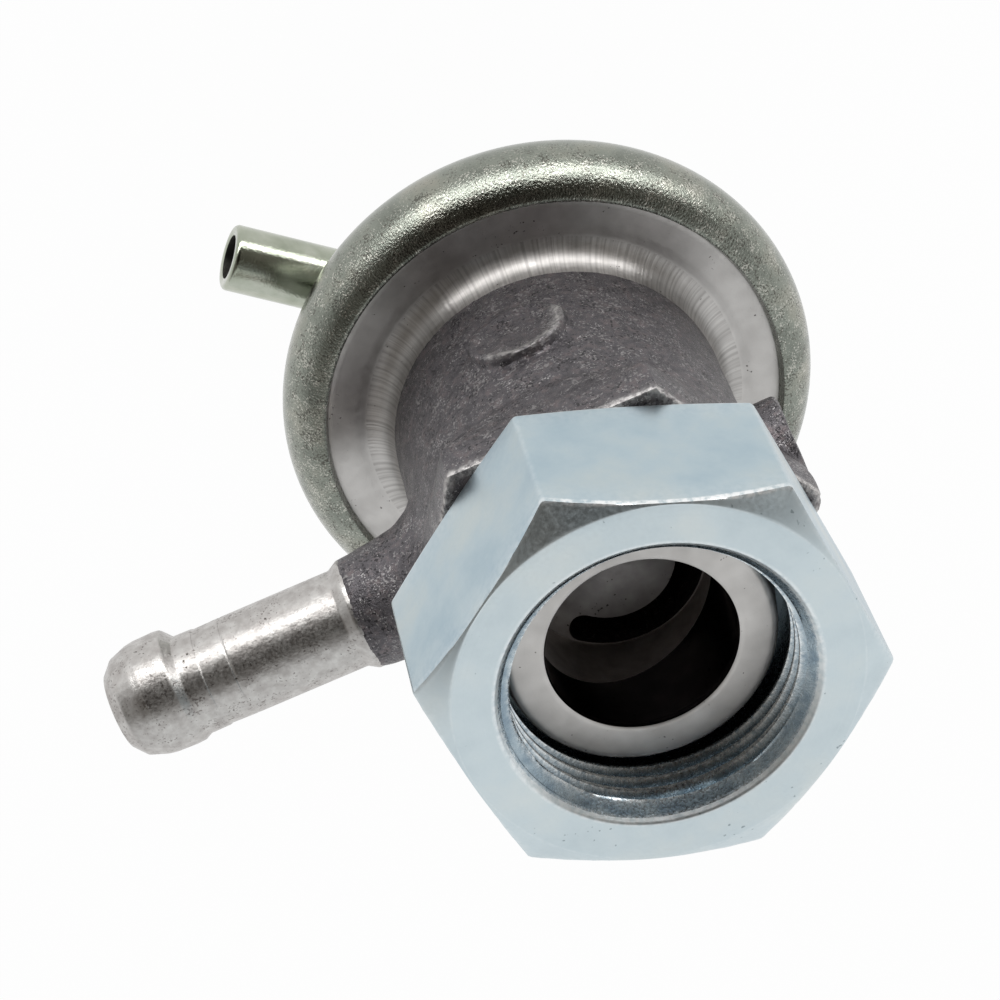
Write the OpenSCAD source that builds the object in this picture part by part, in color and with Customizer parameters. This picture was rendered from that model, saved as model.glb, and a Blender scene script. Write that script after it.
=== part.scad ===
// Fuel pressure regulator: cast body with union nut, return spigot and crimped spring cover.
// It stands on the flat end of the spring cover. The main axis is Z and the nut is on top.

/* [Spring cover] */
// Height of the rim's middle above the flat end
cover_depth = 22; // [20:0.5:26]
// Outer diameter of the dome
cover_d = 27; // [25:0.5:29]
// Outer corner radius at the flat end
cover_round = 4; // [3:0.5:5]
// Concave fillet between dome and shoulder
cover_fillet = 3; // [2:0.1:3.5]
// Thickness of the pressed sheet
sheet_t = 1.05; // [0.8:0.05:1.2]
// Outer diameter of the rolled rim
rim_d = 46.6; // [46:0.2:50]
// Inner bend radius of the rolled rim
bend_r = 3.6; // [3.4:0.05:4]
// How far the lip is rolled over, from level
lip_angle = 72; // [68:1:76]
// Diameter of the setting dent in the flat end
dent_d = 9; // [6:0.5:10]
// Depth of the setting dent
dent_depth = 1; // [0.5:0.1:1.1]

/* [Vacuum pipe] */
// Outer diameter of the vacuum pipe
vac_d = 5.9; // [5:0.1:6.5]
// Bore of the vacuum pipe
vac_bore_d = 3.8; // [3:0.1:4.2]
// Length of the pipe outside the dome
vac_len = 14.7; // [12:0.1:20]
// Depth of the pipe below the rim's middle
vac_drop = 11.65; // [11:0.05:14]
// Direction of the pipe around the main axis
vac_angle = 139; // [100:1:170]
// Rounding of the pipe's outer end
vac_round = 0.5; // [0.2:0.1:0.8]

/* [Body casting] */
// Diameter of the cast barrel
barrel_d = 28.7; // [27.6:0.1:29.4]
// Height of the flange face above the rim's middle
flange_rise = 3.4; // [3.1:0.05:3.4]
// Concave fillet between flange face and barrel
flange_fillet = 2.4; // [1:0.1:3]
// Size of the wrench hexagon across flats
hex_af = 30; // [29.6:0.1:31]
// Start of the wrench hexagon above the rim's middle
hex_start = 24.2; // [23.5:0.1:26]
// Length of the wrench hexagon
hex_len = 7.4; // [6:0.1:10]
// Diameter of the round cast pad
pad_d = 8.4; // [6:0.1:10]
// Rise of the pad over the barrel
pad_rise = 0.8; // [0.4:0.1:1.2]
// Height of the pad's centre above the rim's middle
pad_height = 14.4; // [12:0.1:16]

/* [Inlet neck] */
// Radial play between the inlet neck and the nut's thread
neck_play = 0.44; // [0.4:0.02:0.8]
// Length of the neck beyond the wrench hexagon
neck_len = 9.3; // [8.8:0.1:10.5]
// Diameter of the inlet bore
inlet_d = 15.1; // [14:0.1:16]
// Depth of the inlet bore
inlet_depth = 11.8; // [10:0.1:13]
// Width of the curved fuel passage
slot_w = 2.4; // [1.6:0.1:2.6]
// Half of the angle left solid for the return duct
slot_bridge = 33; // [32:1:50]

/* [Return spigot] */
// Diameter of the spigot barrel
spigot_d = 8.4; // [8:0.1:9]
// Diameter of the hose bead
bead_d = 9.9; // [9.2:0.1:10.6]
// Bore of the spigot
spigot_bore_d = 5; // [4:0.1:5.2]
// Distance of the spigot's tip from the main axis
spigot_reach = 42.4; // [38:0.2:50]
// Height of the spigot above the rim's middle
spigot_height = 21.2; // [20:0.1:22]
// Distance of the cast boss's end from the main axis
boss_reach = 20.8; // [19:0.1:23]
// Diameter of the cast boss at its end
boss_d = 9.4; // [9.2:0.1:10]
// Diameter of the cast boss at its root
boss_root_d = 10.8; // [10.2:0.1:11.4]
// Concave fillet at the boss's root
boss_fillet = 2.3; // [1.5:0.1:3]

/* [Union nut] */
// Size of the union nut across flats
nut_af = 32; // [30.5:0.5:36]
// Length of the union nut
nut_len = 14.7; // [13:0.1:16]
// Gap between wrench hexagon and nut
nut_gap = 0.4; // [0.3:0.1:2]
// Nominal thread diameter
thread_d = 24; // [24:0.5:26]
// Thread pitch
thread_pitch = 1.5; // [1:0.25:1.5]
// Thickness of the nut's inner collar
collar_t = 3; // [2:0.1:3.4]
// Turn of the nut's corners around the main axis
nut_turn = 37; // [0:1:59]
// Angle of the nut's chamfer
nut_chamfer = 30; // [20:1:35]

/* [Valve and springs] */
// Thickness of the rubber diaphragm
rubber_t = 0.8; // [0.6:0.05:1]
// Drop of the diaphragm's middle below its clamped edge
rubber_drop = 2; // [1.6:0.1:3]
// Radial play between the plates at the diaphragm's middle and the dome
plate_play = 0.65; // [0.6:0.05:1]
// Width of the diaphragm's fold round the plates
fold_w = 3.4; // [3:0.1:3.6]
// Thickness of the plates
plate_t = 1.1; // [0.8:0.05:1.2]
// Diameter of the stem through the plates
stem_d = 5; // [4:0.1:5.6]
// Diameter of the valve holder's head
holder_d = 11.2; // [10.6:0.1:12]
// Diameter of the valve ball
ball_d = 6; // [5.6:0.1:6.2]
// Outer diameter of the valve seat tube
seat_d = 6.4; // [6:0.1:7]
// Bore of the valve seat tube
seat_bore_d = 2.8; // [2:0.1:3]
// Length of the valve seat tube
seat_len = 14; // [10:0.5:15]
// Wire of the regulating spring
spring_wire_d = 2; // [1.6:0.1:2.2]
// Radial play of the regulating spring in its cup
cup_play = 0.5; // [0.4:0.05:0.8]
// Pitch of the spring's open turns against its wire
spring_open = 1.2; // [1.15:0.05:1.6]

/* [Fits] */
// Clearance between pieces that lie on each other
seat_gap = 0.03; // [0.01:0.01:0.06]
// Clearance between pieces that move past each other
run_gap = 0.25; // [0.1:0.05:0.3]
// Radial clearance between the nut's collar and the neck
collar_gap = 0.25; // [0.15:0.05:0.3]

/* [Hidden] */
$fn = 96;
// Overlap of joined shapes, overrun of cutting shapes, and a length beyond the whole part
eps = 0.01;
over = 1;
big = 80;

// Heights of the stack
rim_z = cover_depth;
flange_z = rim_z + flange_rise;
hex_z = rim_z + hex_start;
hex_top_z = hex_z + hex_len;
neck_top_z = hex_top_z + neck_len;
inlet_floor_z = neck_top_z - inlet_depth;
nut_z = hex_top_z + nut_gap;
nut_top_z = nut_z + nut_len;
spigot_z = rim_z + spigot_height;
vac_z = rim_z - vac_drop;
vac_reach = cover_d / 2 + vac_len;
vac_stub_d = (vac_d + vac_bore_d) / 2;

// Rolled rim: the sheet bends round this circle, seen in section
bead_r = bend_r + sheet_t;
bead_c = rim_d / 2 - bead_r;
shoulder_z = rim_z - bend_r;

// Chamber under the flange, hub of the valve seat and fuel passage
clamp_z = shoulder_z + seat_gap + rubber_t;
flange_base_z = clamp_z + seat_gap;
cover_in_r = cover_d / 2 - sheet_t;
cover_in_round = cover_round - sheet_t;
plate_r = cover_in_r - plate_play;
mouth_r = plate_r + fold_w;
mouth_h = 2.6;
chamber_wall = 2.4;
chamber_r = barrel_d / 2 - chamber_wall;
slot_step = 0.1;
slot_out_r = inlet_d / 2 - slot_step;
slot_in_r = slot_out_r - slot_w;

// Valve group, from the diaphragm's middle upwards
rubber_z = shoulder_z + seat_gap - rubber_drop;
rubber_top_z = rubber_z + rubber_t;
washer_z = rubber_top_z + seat_gap;
head_z = washer_z + plate_t + seat_gap;
pocket_floor = 0.8;
pocket_z = head_z + pocket_floor;
ball_spring_h = 1.55;
ball_spring_wire = 0.4;
ball_spring_r = 1.7;
ball_spring_turns = 3;
ball_r = ball_d / 2;
ball_rest_r = ball_r + ball_spring_wire / 2 + seat_gap;
ball_rise = sqrt(ball_rest_r ^ 2 - ball_spring_r ^ 2);
ball_z = pocket_z + seat_gap + ball_spring_h - ball_spring_wire / 2 + ball_rise;
ball_flat = ball_r * 2 / 3;
retainer_t = 0.5;
retainer_rise = 0.66;
retainer_z = ball_z + retainer_rise;
retainer_hole_r = sqrt(ball_r ^ 2 - retainer_rise ^ 2) + seat_gap;
swage_h = 0.4;
swage_t = 0.4;
head_top_z = retainer_z + retainer_t + swage_h;
valve_gap = 0.1;
seat_tip_z = ball_z + ball_flat + valve_gap;
seat_tip_h = 1.6;
hub_z = seat_tip_z + seat_tip_h;
hub_h = 0.8;
roof_z = hub_z + hub_h;
hub_step = 0.25;
hub_r = slot_in_r - hub_step;
duct_step = 0.9;
duct_d = seat_d - 2 * duct_step;

// Plates below the diaphragm and the regulating spring
cup_top_z = rubber_z - seat_gap;
cup_floor_z = cup_top_z - plate_t;
cup_depth = 3.4;
cup_wall = 1;
rivet_h = 1.2;
rest_z = sheet_t + seat_gap;
rest_top_z = rest_z + plate_t;
spring_z = rest_top_z + seat_gap;
spring_top_z = cup_floor_z - seat_gap;
spring_h = spring_top_z - spring_z;
spring_mean_r = plate_r - cup_wall - cup_play - spring_wire_d / 2;
touching = 1.02;
open_h = spring_h - spring_wire_d * (1 + 2 * touching);
spring_turns = 2 + open_h / (spring_open * spring_wire_d);

// Nut: inside diameters and retaining ring
metric_depth = 1.0825;
thread_minor_r = (thread_d - metric_depth * thread_pitch) / 2;
neck_r = thread_minor_r - neck_play;
relief_step = 0.3;
relief_r = thread_d / 2 + relief_step;
thread_z = neck_top_z + run_gap;
collar_r = neck_r + collar_gap;
mouth_cut = 0.53;
ring_wire_d = 1.2;
ring_mean_r = collar_r;
ring_z = nut_z + collar_t + ring_wire_d / 2 + run_gap;

// Profile of the spigot, measured back from its tip
nose_len = 2.65;
land_len = 3;
shoulder_len = 0.9;
nose_step = 0.5;
nose_d = spigot_d - 2 * nose_step;
tip_round = 0.5;

// A ring sector in section, from angle a0 to angle a1 around the origin
module arc_band(r_in, r_out, a0, a1) {
  reach = 3 * r_out;
  mid = (a0 + a1) / 2;
  intersection() {
    difference() {
      circle(r_out);
      circle(r_in);
    }
    polygon([
      [0, 0],
      reach * [cos(a0), sin(a0)],
      reach * [cos((a0 + mid) / 2), sin((a0 + mid) / 2)],
      reach * [cos(mid), sin(mid)],
      reach * [cos((a1 + mid) / 2), sin((a1 + mid) / 2)],
      reach * [cos(a1), sin(a1)]
    ]);
  }
}

// A concave fillet in section, filling the corner at the origin
module corner_fillet(r) {
  difference() {
    translate([-eps, -eps]) square(r + eps);
    translate([r, r]) circle(r);
  }
}

// A section of a round can: width r, from z0 to z1, with a rounded lower corner
module can_section(r, z0, z1, corner) {
  translate([0, z0]) square([r - corner, z1 - z0]);
  translate([0, z0 + corner]) square([r, z1 - z0 - corner]);
  translate([r - corner, z0 + corner]) circle(corner);
}

// A straight rod along -X from the main axis, at the spigot's height
module along_spigot() {
  translate([0, 0, spigot_z]) rotate([0, -90, 0]) children();
}

// The vacuum pipe's own axis, pointing away from the main axis
module along_vacuum_pipe() {
  translate([0, 0, vac_z]) rotate([0, 90, vac_angle]) children();
}

// Points of one ring of a coil's wire
function coil_ring(c, a, wire_r, sides) = [
  for (k = [0 : sides - 1])
    let (t = 360 * k / sides)
      [(c[0] + wire_r * cos(t)) * cos(a), (c[0] + wire_r * cos(t)) * sin(a), c[1] + wire_r * sin(t)]
];

// A coil with closed end turns, standing on z = 0
module coil(mean_r, wire_d, height, turns, sides, steps) {
  n = ceil(turns * steps);
  rise = height - wire_d;
  open_turns = turns - 2;
  low = wire_d * touching;
  function climb(u) =
    u < 1 ? low * u
    : u > turns - 1 ? rise - low * (turns - u)
    : low + (rise - 2 * low) * (u - 1) / open_turns;
  rings = [
    for (i = [0 : n])
      coil_ring([mean_r, wire_d / 2 + climb(turns * i / n)], 360 * turns * i / n, wire_d / 2, sides)
  ];
  points = [for (ring = rings) each ring];
  skin = [
    for (i = [0 : n - 1], k = [0 : sides - 1])
      let (k2 = (k + 1) % sides)
        [i * sides + k, i * sides + k2, (i + 1) * sides + k2, (i + 1) * sides + k]
  ];
  first_cap = [[for (k = [sides - 1 : -1 : 0]) k]];
  last_cap = [[for (k = [0 : sides - 1]) n * sides + k]];
  polyhedron(points, concat(skin, first_cap, last_cap));
}

// Section of the cast and turned body, without the inlet and the chamber
module body_section() {
  barrel_r = barrel_d / 2;
  // Flange, held by the rolled rim
  translate([0, flange_base_z]) square([bead_c, flange_z - flange_base_z]);
  intersection() {
    translate([bead_c, rim_z]) circle(bend_r - seat_gap);
    translate([0, flange_base_z]) square([rim_d, flange_z - flange_base_z]);
  }
  translate([0, flange_base_z]) square([barrel_r, hex_top_z - flange_base_z]);
  translate([barrel_r, flange_z]) corner_fillet(flange_fillet);
  translate([0, hex_z]) square([neck_r, neck_top_z - hex_z]);
}

// Section of the spigot with its cast boss, drawn along its own axis
module spigot_section() {
  land_at = spigot_reach - nose_len;
  neck_at = land_at - land_len;
  foot = barrel_d / 2 - boss_fillet;
  polygon([
    [0, 0],
    [boss_root_d / 2, 0],
    [boss_root_d / 2, foot + boss_fillet],
    [boss_d / 2, boss_reach],
    [spigot_d / 2, boss_reach],
    [spigot_d / 2, neck_at - shoulder_len],
    [bead_d / 2, neck_at],
    [bead_d / 2, land_at],
    [nose_d / 2, spigot_reach - tip_round],
    [nose_d / 2 - tip_round, spigot_reach],
    [0, spigot_reach]
  ]);
  translate([boss_root_d / 2, foot]) corner_fillet(boss_fillet);
}

// Curved fuel passage beside the return duct, seen along the main axis
module passage_plan() {
  mid_r = (slot_in_r + slot_out_r) / 2;
  end_turn = 180 - slot_bridge - asin(slot_w / 2 / mid_r);
  difference() {
    circle(slot_out_r);
    circle(slot_in_r);
    polygon([
      [0, 0],
      big * [cos(end_turn), sin(end_turn)],
      [-big, 0],
      big * [cos(end_turn), -sin(end_turn)]
    ]);
  }
  for (side = [-1, 1]) {
    rotate(side * end_turn) translate([mid_r, 0]) circle(slot_w / 2);
  }
}

module body() {
  color("#5F5C5F")
  difference() {
    union() {
      rotate_extrude() body_section();
      translate([0, 0, hex_z]) cylinder(h = hex_len, d = hex_af / cos(30), $fn = 6);
      translate([0, 0, rim_z + pad_height]) rotate([-90, 0, 0])
        cylinder(h = barrel_d / 2 + pad_rise, d = pad_d);
      along_spigot() rotate_extrude() spigot_section();
    }
    // Inlet bore and the curved passage to the chamber
    translate([0, 0, inlet_floor_z]) cylinder(h = inlet_depth + over, d = inlet_d);
    translate([0, 0, roof_z - over]) linear_extrude(inlet_floor_z - roof_z + 2 * over) passage_plan();
    // Chamber round the valve seat's hub
    rotate_extrude() {
      translate([0, flange_base_z - over]) square([mouth_r, mouth_h + over]);
      translate([0, flange_base_z]) square([chamber_r, hub_z - flange_base_z]);
      translate([hub_r, flange_base_z]) square([chamber_r - hub_r, roof_z - flange_base_z]);
    }
    // Seat bore, return duct and spigot bore
    translate([0, 0, hub_z - over])
      cylinder(h = seat_tip_z + seat_len - hub_z + over + seat_gap, d = seat_d);
    translate([0, 0, hub_z]) cylinder(h = spigot_z - hub_z, d = duct_d);
    along_spigot() translate([0, 0, -spigot_bore_d / 2]) cylinder(h = 2 * spigot_reach, d = spigot_bore_d);
    // Groove of the wire ring
    translate([0, 0, ring_z]) rotate_extrude()
      translate([ring_mean_r, 0]) circle(d = ring_wire_d + 2 * seat_gap);
  }
}

module valve_seat() {
  tip_wall = 0.6;
  color("#B9BCBD")
  rotate_extrude()
  polygon([
    [seat_bore_d / 2, seat_tip_z],
    [seat_bore_d / 2 + tip_wall, seat_tip_z],
    [seat_d / 2, hub_z - seat_gap],
    [seat_d / 2, seat_tip_z + seat_len],
    [seat_bore_d / 2, seat_tip_z + seat_len]
  ]);
}

module union_nut() {
  flat_r = nut_af / 2;
  corner_r = flat_r / cos(30);
  fall = (corner_r - flat_r) * tan(nut_chamfer);
  rear_share = 0.4;
  rear_fall = fall * rear_share;
  face_r = thread_d / 2 + mouth_cut;
  color("#AABEC6")
  difference() {
    intersection() {
      translate([0, 0, nut_z]) rotate(nut_turn) cylinder(h = nut_len, r = corner_r, $fn = 6);
      rotate_extrude()
      polygon([
        [0, nut_z],
        [flat_r, nut_z],
        [corner_r, nut_z + rear_fall],
        [corner_r, nut_top_z - fall],
        [flat_r, nut_top_z],
        [0, nut_top_z]
      ]);
    }
    rotate_extrude()
    polygon([
      [0, nut_z - over],
      [collar_r, nut_z - over],
      [collar_r, nut_z + collar_t],
      [relief_r, nut_z + collar_t],
      [relief_r, thread_z - (relief_r - thread_minor_r)],
      [thread_minor_r, thread_z],
      [thread_minor_r, nut_top_z - (face_r - thread_minor_r)],
      [face_r, nut_top_z],
      [face_r, nut_top_z + over],
      [0, nut_top_z + over]
    ]);
  }
}

module nut_retaining_ring() {
  opening = 40;
  color("#8E9092")
  translate([0, 0, ring_z]) rotate(opening / 2) rotate_extrude(angle = 360 - opening)
    translate([ring_mean_r, 0]) circle(d = ring_wire_d);
}

// Section of the pressed cover: dome, shoulder and rolled rim
module cover_section() {
  dome_r = cover_d / 2;
  difference() {
    union() {
      can_section(dome_r, 0, shoulder_z, cover_round);
      translate([0, shoulder_z - sheet_t]) square([bead_c, sheet_t]);
      translate([dome_r, shoulder_z - sheet_t]) mirror([0, 1]) corner_fillet(cover_fillet);
    }
    can_section(cover_in_r, sheet_t, shoulder_z + over, cover_in_round);
    translate([cover_in_r, shoulder_z]) mirror([0, 1]) corner_fillet(cover_fillet + sheet_t);
    translate([0, -over]) square([dent_d / 2, sheet_t + 2 * over]);
  }
  // Setting dent, pressed inwards by its own depth
  translate([0, dent_depth]) square([dent_d / 2, sheet_t]);
  translate([dent_d / 2 - eps, 0]) square([sheet_t, dent_depth + sheet_t]);
  translate([bead_c, rim_z]) arc_band(bend_r, bead_r, -90, lip_angle);
}

module spring_cover() {
  color("#969B8C")
  difference() {
    rotate_extrude() cover_section();
    along_vacuum_pipe() cylinder(h = cover_d, d = vac_stub_d + 2 * seat_gap);
  }
}

module vacuum_pipe() {
  start = cover_in_r - plate_play / 2;
  foot = cover_d / 2 + seat_gap;
  inner_r = vac_bore_d / 2;
  color("#A3A98F")
  along_vacuum_pipe() rotate_extrude() difference() {
    union() {
      translate([0, start]) square([vac_stub_d / 2, foot - start + eps]);
      translate([0, foot]) square([vac_d / 2, vac_reach - vac_round - foot]);
      translate([0, foot]) square([vac_d / 2 - vac_round, vac_reach - foot]);
      translate([vac_d / 2 - vac_round, vac_reach - vac_round]) circle(vac_round);
    }
    translate([0, start - over]) square([inner_r, vac_reach]);
  }
}

module diaphragm() {
  fold_gap = 0.2;
  fold_in_r = plate_r + fold_gap;
  fold_out_r = mouth_r - 2 * fold_gap;
  hole_r = stem_d / 2 + seat_gap;
  steps = 10;
  fold = [
    for (i = [0 : steps])
      let (u = i / steps)
        [fold_in_r + (fold_out_r - fold_in_r) * u, rubber_z + rubber_drop * (1 - cos(180 * u)) / 2]
  ];
  under = concat([[hole_r, rubber_z]], fold, [[bead_c, rubber_z + rubber_drop]]);
  upper = [for (i = [len(under) - 1 : -1 : 0]) under[i] + [0, rubber_t]];
  color("#2B2B2C") rotate_extrude() polygon(concat(under, upper));
}

module fuel_side_washer() {
  inset = 1.4;
  rim_r = plate_r - inset;
  edge = plate_t / 2;
  color("#A9ACAB")
  translate([0, 0, washer_z]) rotate_extrude() {
    translate([stem_d / 2 + seat_gap, 0]) square([rim_r - edge - stem_d / 2 - seat_gap, plate_t]);
    translate([rim_r - edge, edge]) circle(edge);
  }
}

module spring_cup() {
  color("#A9ACAB")
  rotate_extrude() {
    translate([stem_d / 2 + seat_gap, cup_floor_z]) square([plate_r - cup_wall - stem_d / 2, plate_t]);
    translate([plate_r - cup_wall, cup_top_z - cup_depth]) square([cup_wall, cup_depth - plate_t]);
    translate([plate_r - cup_wall, cup_floor_z]) intersection() {
      circle(cup_wall);
      square(cup_wall);
    }
    translate([plate_r - cup_wall - eps, cup_floor_z + cup_wall - eps])
      square([eps, plate_t - cup_wall + eps]);
  }
}

module valve_holder() {
  pocket_gap = 0.1;
  pocket_r = ball_r + pocket_gap;
  recess_r = holder_d / 2 - swage_t;
  rivet_lap = 1.3;
  rivet_r = stem_d / 2 + rivet_lap;
  rivet_cut = 0.5;
  color("#B5A36A")
  rotate_extrude()
  polygon([
    [0, cup_floor_z - seat_gap - rivet_h],
    [rivet_r - rivet_cut, cup_floor_z - seat_gap - rivet_h],
    [rivet_r, cup_floor_z - seat_gap - rivet_h / 2],
    [rivet_r, cup_floor_z - seat_gap],
    [stem_d / 2, cup_floor_z - seat_gap],
    [stem_d / 2, head_z],
    [holder_d / 2, head_z],
    [holder_d / 2, head_top_z],
    [recess_r, head_top_z],
    [recess_r, retainer_z - seat_gap],
    [pocket_r, retainer_z - seat_gap],
    [pocket_r, pocket_z],
    [0, pocket_z]
  ]);
}

module valve_ball() {
  color("#C9CBCC")
  translate([0, 0, ball_z]) difference() {
    sphere(d = ball_d);
    translate([-ball_r, -ball_r, ball_flat]) cube([ball_d, ball_d, ball_d]);
  }
}

module ball_retainer() {
  out_r = holder_d / 2 - swage_t - seat_gap;
  color("#B9BCBD")
  translate([0, 0, retainer_z]) rotate_extrude()
    translate([retainer_hole_r, 0]) square([out_r - retainer_hole_r, retainer_t]);
}

module ball_spring() {
  color("#8E9092")
  translate([0, 0, pocket_z + seat_gap])
    coil(ball_spring_r, ball_spring_wire, ball_spring_h, ball_spring_turns, 6, 16);
}

module main_spring() {
  color("#6F7377")
  translate([0, 0, spring_z])
    coil(spring_mean_r, spring_wire_d, spring_h, spring_turns, 10, 28);
}

module spring_rest() {
  hole_r = dent_d / 2 + sheet_t + run_gap;
  rest_r = cover_in_r - cover_in_round - seat_gap;
  color("#8F9294")
  translate([0, 0, rest_z]) rotate_extrude()
    translate([hole_r, 0]) square([rest_r - hole_r, plate_t]);
}

body();
valve_seat();
union_nut();
nut_retaining_ring();
spring_cover();
vacuum_pipe();
diaphragm();
fuel_side_washer();
spring_cup();
valve_holder();
valve_ball();
ball_retainer();
ball_spring();
main_spring();
spring_rest();
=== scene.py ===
import logging
import math
from collections.abc import Callable, Sequence
from dataclasses import dataclass, field, replace
from enum import IntEnum
from functools import cache

import bmesh
import bpy
import numpy as np
from mathutils import Matrix, Vector


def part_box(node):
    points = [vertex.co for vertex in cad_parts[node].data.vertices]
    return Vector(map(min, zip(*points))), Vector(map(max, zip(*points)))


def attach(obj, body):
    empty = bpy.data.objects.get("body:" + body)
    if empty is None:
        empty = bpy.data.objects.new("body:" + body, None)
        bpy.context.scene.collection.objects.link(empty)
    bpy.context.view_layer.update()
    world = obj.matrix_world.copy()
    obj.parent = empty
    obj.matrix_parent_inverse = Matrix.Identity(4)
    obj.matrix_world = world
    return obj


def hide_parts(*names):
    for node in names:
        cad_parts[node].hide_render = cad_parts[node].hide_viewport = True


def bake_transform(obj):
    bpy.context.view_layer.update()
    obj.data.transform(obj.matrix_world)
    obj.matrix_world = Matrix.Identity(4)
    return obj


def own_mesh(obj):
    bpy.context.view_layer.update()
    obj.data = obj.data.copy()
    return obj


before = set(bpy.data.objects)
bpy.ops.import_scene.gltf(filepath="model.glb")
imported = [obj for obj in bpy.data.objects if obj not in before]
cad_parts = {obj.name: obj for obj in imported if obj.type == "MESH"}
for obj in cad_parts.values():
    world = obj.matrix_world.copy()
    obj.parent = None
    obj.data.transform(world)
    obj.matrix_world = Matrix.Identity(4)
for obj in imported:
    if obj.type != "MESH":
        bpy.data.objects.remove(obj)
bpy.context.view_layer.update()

LOG = logging.getLogger("regulator")
MM = 0.001
TURN = 2.0 * math.pi
# Heights in millimetres: the vacuum pipe's axis, from the frame, and the middle of the rolled rim above it.
PIPE_DROP = 11.65
PIPE_Z = (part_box("vacuum_pipe")[0][2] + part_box("vacuum_pipe")[1][2]) / 2 / MM
RIM_Z = PIPE_Z + PIPE_DROP
Point = tuple[float, float]
Triple = tuple[float, float, float]
Colour = tuple[float, float, float, float]
Field = Callable[[np.ndarray], np.ndarray]
Tree = bpy.types.NodeTree
Socket = bpy.types.NodeSocket
Material = bpy.types.Material
Piece = bpy.types.Object


def linear(hex_colour: str) -> Colour:
    """Turn an sRGB hex colour into linear light.

    Args:
        hex_colour: Six hex digits after a hash sign.

    Returns:
        Red, green, blue and full alpha, linear.
    """
    channels = [int(hex_colour[i:i + 2], 16) / 255 for i in (1, 3, 5)]
    light = [c / 12.92 if c <= 0.04045 else ((c + 0.055) / 1.055) ** 2.4 for c in channels]
    return (light[0], light[1], light[2], 1.0)


def add(tree: Tree, kind: str, inputs: dict | None = None, **settings: object) -> bpy.types.Node:
    """Add one node with its settings, values and links.

    Args:
        tree: The tree that takes the node.
        kind: Blender's name for the kind of node.
        inputs: Socket name or index to a value, or to a socket that is linked to it.
        settings: Values of the node's own properties.

    Returns:
        The new node.
    """
    made = tree.nodes.new(kind)
    for name, value in settings.items():
        setattr(made, name, value)
    for key, value in (inputs or {}).items():
        if isinstance(value, bpy.types.NodeSocket):
            tree.links.new(value, made.inputs[key])
        else:
            made.inputs[key].default_value = value
    return made


def maths(tree: Tree, operation: str, *values: Socket | float) -> Socket:
    """Result of one math node on values or sockets."""
    return add(tree, "ShaderNodeMath", dict(enumerate(values)), operation=operation).outputs[0]


def mix(tree: Tree, share: Socket, under: Socket | Colour, over: Colour) -> Socket:
    """One colour laid over another by a share."""
    return add(tree, "ShaderNodeMix", {0: share, 6: under, 7: over}, data_type="RGBA").outputs[2]


def stretch(tree: Tree, value: Socket, start: float, stop: float, low: float = 0.0, high: float = 1.0,
            **settings: object) -> Socket:
    """Map a range of values onto another, held at both ends.

    Args:
        tree: The tree that takes the node.
        value: What is mapped.
        start: Value that gives the low result.
        stop: Value that gives the high result.
        low: Result at the start.
        high: Result at the stop.
        settings: Values of the node's own properties.

    Returns:
        The mapped value.
    """
    ends = {"From Min": start, "From Max": stop, "To Min": low, "To Max": high}
    return add(tree, "ShaderNodeMapRange", {"Value": value} | ends, **settings).outputs["Result"]


def noise(tree: Tree, place: Socket, scale: float, detail: float, roughness: float = 0.5,
          dimensions: str = "3D") -> Socket:
    """Height of a noise pattern.

    Args:
        tree: The tree that takes the node.
        place: Coordinates, or one coordinate for a pattern of lines.
        scale: Patches in one unit of the coordinates.
        detail: Number of finer layers.
        roughness: Strength of the finer layers.
        dimensions: 3D, or 1D for a pattern of lines.

    Returns:
        The height, about 0.5 in the middle.
    """
    key = "W" if dimensions == "1D" else "Vector"
    sizes = {"Scale": scale, "Detail": detail, "Roughness": roughness}
    return add(tree, "ShaderNodeTexNoise", {key: place} | sizes, noise_dimensions=dimensions).outputs["Fac"]


def turned_uv(tree: Tree) -> Socket:
    """Turn round the axis and length along the section, from the piece's own map."""
    return add(tree, "ShaderNodeUVMap", uv_map="turned").outputs["UV"]


def arc(centre: Point, radius: float, start: float, stop: float, steps: int) -> list[Point]:
    """Points of an arc in a section plane.

    Args:
        centre: Centre of the arc.
        radius: Radius of the arc.
        start: First angle in degrees.
        stop: Last angle in degrees.
        steps: Number of equal steps.

    Returns:
        The points, both ends included.
    """
    angles = np.radians(np.linspace(start, stop, steps + 1))
    return [(centre[0] + radius * math.cos(a), centre[1] + radius * math.sin(a)) for a in angles]


def facets(corners: Sequence[Point], bevel: float) -> list[Point]:
    """Points of an outline with small bevels, so that each stretch between two corners shades flat.

    Args:
        corners: The outline's corners.
        bevel: Length that each bevel takes from a stretch.

    Returns:
        The points, with the first and the last corner kept.
    """
    points = [corners[0]]
    for before, at, after in zip(corners, corners[1:], corners[2:]):
        for other, spans in ((before, (2.0, 1.0)), (after, (1.0, 2.0))):
            for span in spans:
                share = min(span * bevel / math.dist(at, other), 0.2 * span)
                points.append((at[0] + (other[0] - at[0]) * share, at[1] + (other[1] - at[1]) * share))
    return points + [corners[-1]]


def smooth_min(a: np.ndarray, b: np.ndarray, blend: float) -> np.ndarray:
    """Join two distance fields with a concave fillet.

    Args:
        a: Distances to the first solid.
        b: Distances to the second solid.
        blend: Width of the fillet.

    Returns:
        Distances to the joined solid.
    """
    share = np.clip(0.5 + 0.5 * (b - a) / blend, 0.0, 1.0)
    return b * (1 - share) + a * share - blend * share * (1 - share)


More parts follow.
